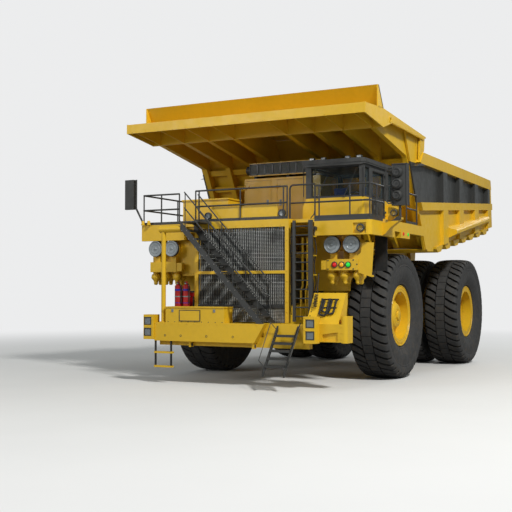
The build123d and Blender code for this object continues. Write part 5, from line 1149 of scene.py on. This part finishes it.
def wall_y(z, inward=0.0):
    """Station of the front wall's outer line at a height, or of a line set inward from it."""
    (y0, z0), (y1, z1) = WALL_LINE
    slope = (y1 - y0) / (z0 - z1)
    return y1 + (z1 - z) * slope + inward * math.hypot(1, slope)


def closing_plates():
    """Sheet between the front wall and the canopy, the corners over the rails' noses, the spill board's ends."""
    m = Mesh()
    low, high = CANOPY_AFT[1] - 0.10, CANOPY_AFT[1] + 0.03
    m.side_plate([(wall_y(z, inward), z) for z, inward in ((low, 0.3), (high, 0.3), (high, 0.34), (low, 0.34))],
                 -WALL_X, WALL_X)
    rail_low, rail_top = 6.255, 6.605
    start, (aft, z) = wall_y(CANOPY_AFT[1], 0.3), CANOPY_AFT
    roof = [(start, canopy_z(start)), (aft, z), (aft, z - SHEET), (start, canopy_z(start) - SHEET)]
    cheek = [(wall_y(rail_low) + 0.06, rail_low), (0.65, rail_low), (0.65, rail_low + 0.036), (0.95, rail_top),
             (aft - 0.04, rail_top), (aft - 0.02, z - 0.01), (wall_y(z - 0.01) + 0.06, z - 0.01)]
    top, foot = SPILL
    end = [top, (top[0] + 0.06, top[1]), (foot[0] + 0.06, foot[1] - 0.01), (top[0], foot[1] - 0.04)]
    for sx in (1, -1):
        m.side_plate(roof, sx * WALL_X, sx * (HALF_WIDTH - 0.001))
        m.side_plate(cheek, sx * WALL_X, sx * (WALL_X + 0.06))
        m.side_plate(end, sx * (HALF_WIDTH - SHEET), sx * HALF_WIDTH)
        m.side_plate([(0.72, 6.40), (0.95, 6.62), (aft - 0.05, 6.62), (aft - 0.05, 7.04), (0.55, 7.04)],
                     sx * (WALL_X + 0.06), sx * (WALL_X + 0.075))
    m.piece("closing_plates", "yellow_paint", body="bed", smooth=30, bevel=0.004)


closing_plates()


# ---- tanks
def slim_tanks():
    """Fuel and oil tanks behind the front wheels, inside the track of the duals, on their saddles."""
    lo, hi = lo_hi("side_tanks")
    m, dark = Mesh(), Mesh()
    inner, outer, r = 1.46, 2.12, 0.16
    for sx, y0, y1, z0, z1 in ((1, lo.y, hi.y, lo.z, hi.z), (-1, lo.y + 0.02, hi.y - 0.10, lo.z + 0.15, hi.z - 0.15)):
        corners = ((inner + r, z0 + r, PI), (outer - r, z0 + r, 1.5 * PI), (outer - r, z1 - r, 0.0),
                   (inner + r, z1 - r, 0.5 * PI))

        def outline(y, grow=0.0):
            big, turns = r + grow, [PI / 2 * k / 8 for k in range(9)]
            return [(sx * (cx + big * math.cos(a0 + t)), y, cz + big * math.sin(a0 + t))
                    for cx, cz, a0 in corners for t in turns]
        m.prism(outline(y0 + 0.012), (0, y1 - y0 - 0.024, 0))
        for y in (y0, y1 - 0.012):
            m.prism(outline(y, -0.02), (0, 0.012, 0))
        for k in range(4):
            y = y0 + (y1 - y0) * (0.14 + 0.24 * k)
            dark.prism(outline(y, 0.006), (0, 0.07, 0))
            dark.bolt((sx * (outer + 0.004), y + 0.035, z1 - r - 0.05), (sx, 0, 0), 0.02)
        m.ring((sx * 1.80, y0 + 0.45, z1 - 0.01), UP,
               [(0, 0.10), (0.03, 0.10), (0.03, 0.075), (0.075, 0.075), (0.09, 0.06), (0.09, 0)], 28)
        m.box((sx * 0.953, sx * (inner + 0.02)), (y0 + 0.08, y0 + 0.22), (1.8, 2.1))
        dark.ring((sx * (outer - 0.004), y0 + 0.3, z0 + 0.45), (sx, 0, 0),
                  [(0, 0.05), (0.02, 0.05), (0.03, 0.035), (0.03, 0)], 20)
    m.piece("tank_shells", "yellow_paint", smooth=40, replaces=("side_tanks",))
    dark.piece("tank_straps", "dark_grey_paint", smooth=40, replaces=("side_tanks",))


slim_tanks()


# ---- bumper and deck fasteners
def front_fasteners():
    """Bolt heads on the bumper, wing, header and lamp boxes, and the pins of the tow eyes."""
    m, dark = Mesh(), Mesh()
    y = st(BUMPER_Y)
    for k in range(14):
        m.bolt((-2.15 + k * 0.235, y, 1.615), FORE, 0.012)
    for x in (-1.9, -1.4, -0.6, 0.2):
        dark.ring((x, y, 1.30), FORE, [(0, 0.030), (0.004, 0.030), (0.004, 0.02), (0, 0.018)], 20, closed=True)
    for x in (-1.15, 0.76):  # pins of the tow eyes
        for sx in (1, -1):
            dark.ring(pt(x + sx * 0.03, -4.37, 1.07), (sx, 0, 0), [(0, 0.05), (0.006, 0.05), (0.008, 0.04)], 24)
    for x in (2.30, 3.17):  # wing
        for z in (1.30, 1.45, 1.60):
            m.bolt(pt(x, -4.30, z), FORE, 0.013)
    for x in (-0.86, -0.4, 0.1, 0.6, 1.0):
        for z in (4.49, 4.77):
            m.bolt(pt(x, HEADER_Y, z), FORE, 0.010)
    for sx in (1, -1):
        for z0 in (1.20, 1.53, 1.83):
            for x in (2.262, 2.295):
                m.bolt(pt(sx * x, LAMP_BOX_Y, z0), FORE, 0.009)
    for x in (-3.42, -3.22):  # two round caps on the right deck corner
        m.ring(pt(x, -3.36, 4.40), UP,
               [(0, 0.055), (0.03, 0.055), (0.035, 0.045), (0.10, 0.045), (0.125, 0.03), (0.13, 0)], 20)
    m.piece("front_bolts", "yellow_paint", smooth=40)
    dark.piece("front_marks", "dark_grey_paint", smooth=40)


front_fasteners()


def front_plates():
    """Tread plate between the bumper and the radiator, and the sheet behind the right intake covers."""
    m = Mesh()
    m.box((-1.36, 1.36), ys(-4.125, -3.73), (1.60, 1.645))
    for x in (-1.2, -0.4, 0.4, 1.2):
        m.slab(x, 0.006, ys(-4.12, -3.74), (1.50, 1.60))
    m.piece("bumper_deck", paint("paint_tread", YELLOW, tread=True), "yellow_paint", bevel=0.003)
    w = Mesh()
    y = st(-3.0)
    outline = [(-1.50, 3.93), (-3.30, 3.93), (-3.30, 3.12), (-3.12, 2.93), (-1.50, 2.93)]
    w.prism([(x, y, z) for x, z in outline], (0, 0.02, 0))
    w.prism([(x, y - 0.03, z) for x, z in ((-3.30, 3.12), (-3.12, 2.93), (-3.10, 2.95), (-3.28, 3.14))], (0, 0.05, 0))
    w.box((-3.12, -1.50), (y - 0.03, y), (2.93, 2.95))
    for k in range(6):
        w.bolt((-1.62 - k * 0.3, y, 3.87), FORE, 0.011)
        w.bolt((-1.62 - k * 0.3, y, 2.99), FORE, 0.011)
    w.piece("cleaner_back_sheet", "yellow_paint", bevel=0.002)


front_plates()


# ---- floor, light
PALE = (0.84, 0.845, 0.85)


def pale_floor():
    """Floor that keeps the shadow nearby and melts into the background far away."""
    bpy.ops.mesh.primitive_plane_add(size=600)
    plane = bpy.context.object
    plane.name = "studio_floor"
    g = Graph("studio_floor")
    shown = g.shift(srgb(226, 226, 225), 0.015, g.noise(0.4, 3))
    g.finish(Base_Color=g.mix(g.node("LightPath"), srgb(150, 150, 150), shown), Roughness=0.8)
    near = g.end.inputs[0].links[0].from_socket
    away = g.node("VectorMath", out=1, props={"operation": "LENGTH"})
    g.feed(away.node.inputs[0], g.place)
    fade = g.times(g.span(away.node.outputs["Value"], 9.0, 34.0), g.node("LightPath"))
    plane.data.materials.append(g.blend(fade, near, g.node("Emission", Color=PALE, Strength=1.0)))


def white_world():
    """Even light on the object, and a pale background where the camera looks past it."""
    world = bpy.data.worlds.new("studio")
    bpy.context.scene.world = world
    world.use_nodes = True
    nodes, links = world.node_tree.nodes, world.node_tree.links
    nodes.clear()
    out, shown, light, path, either, mix = (nodes.new("ShaderNode" + kind) for kind in (
        "OutputWorld", "Background", "Background", "LightPath", "Math", "MixShader"))
    either.operation = "MAXIMUM"
    shown.inputs[0].default_value, shown.inputs[1].default_value = (*PALE, 1), 1.0
    light.inputs[0].default_value, light.inputs[1].default_value = (0.93, 0.99, 1.0, 1), 0.30
    links.new(path.outputs["Is Camera Ray"], either.inputs[0])
    links.new(path.outputs["Is Transmission Ray"], either.inputs[1])
    links.new(either.outputs[0], mix.inputs[0])
    links.new(light.outputs[0], mix.inputs[1])
    links.new(shown.outputs[0], mix.inputs[2])
    links.new(mix.outputs[0], out.inputs[0])


def soft_lamp(name, place, aim, size, watts, tint=(1, 1, 1)):
    """Square area light at a place, turned to its aim."""
    data = bpy.data.lights.new(name, "AREA")
    data.shape, data.size, data.size_y = "RECTANGLE", size, size
    data.energy, data.color = watts, tint
    lamp = bpy.data.objects.new(name, data)
    bpy.context.scene.collection.objects.link(lamp)
    lamp.location = place
    lamp.rotation_euler = (Vector(aim) - Vector(place)).to_track_quat("-Z", "Y").to_euler()


pale_floor()
white_world()
soft_lamp("key", (24, -21, 29), (0, 0, 3), 4, 12800, (1.0, 0.99, 0.96))
soft_lamp("fill", (-14, -30, 12), (0, 0, 3), 9, 1500, (1.0, 0.99, 0.97))
soft_lamp("back", (4, 24, 18), (0, 0, 4), 10, 1800)
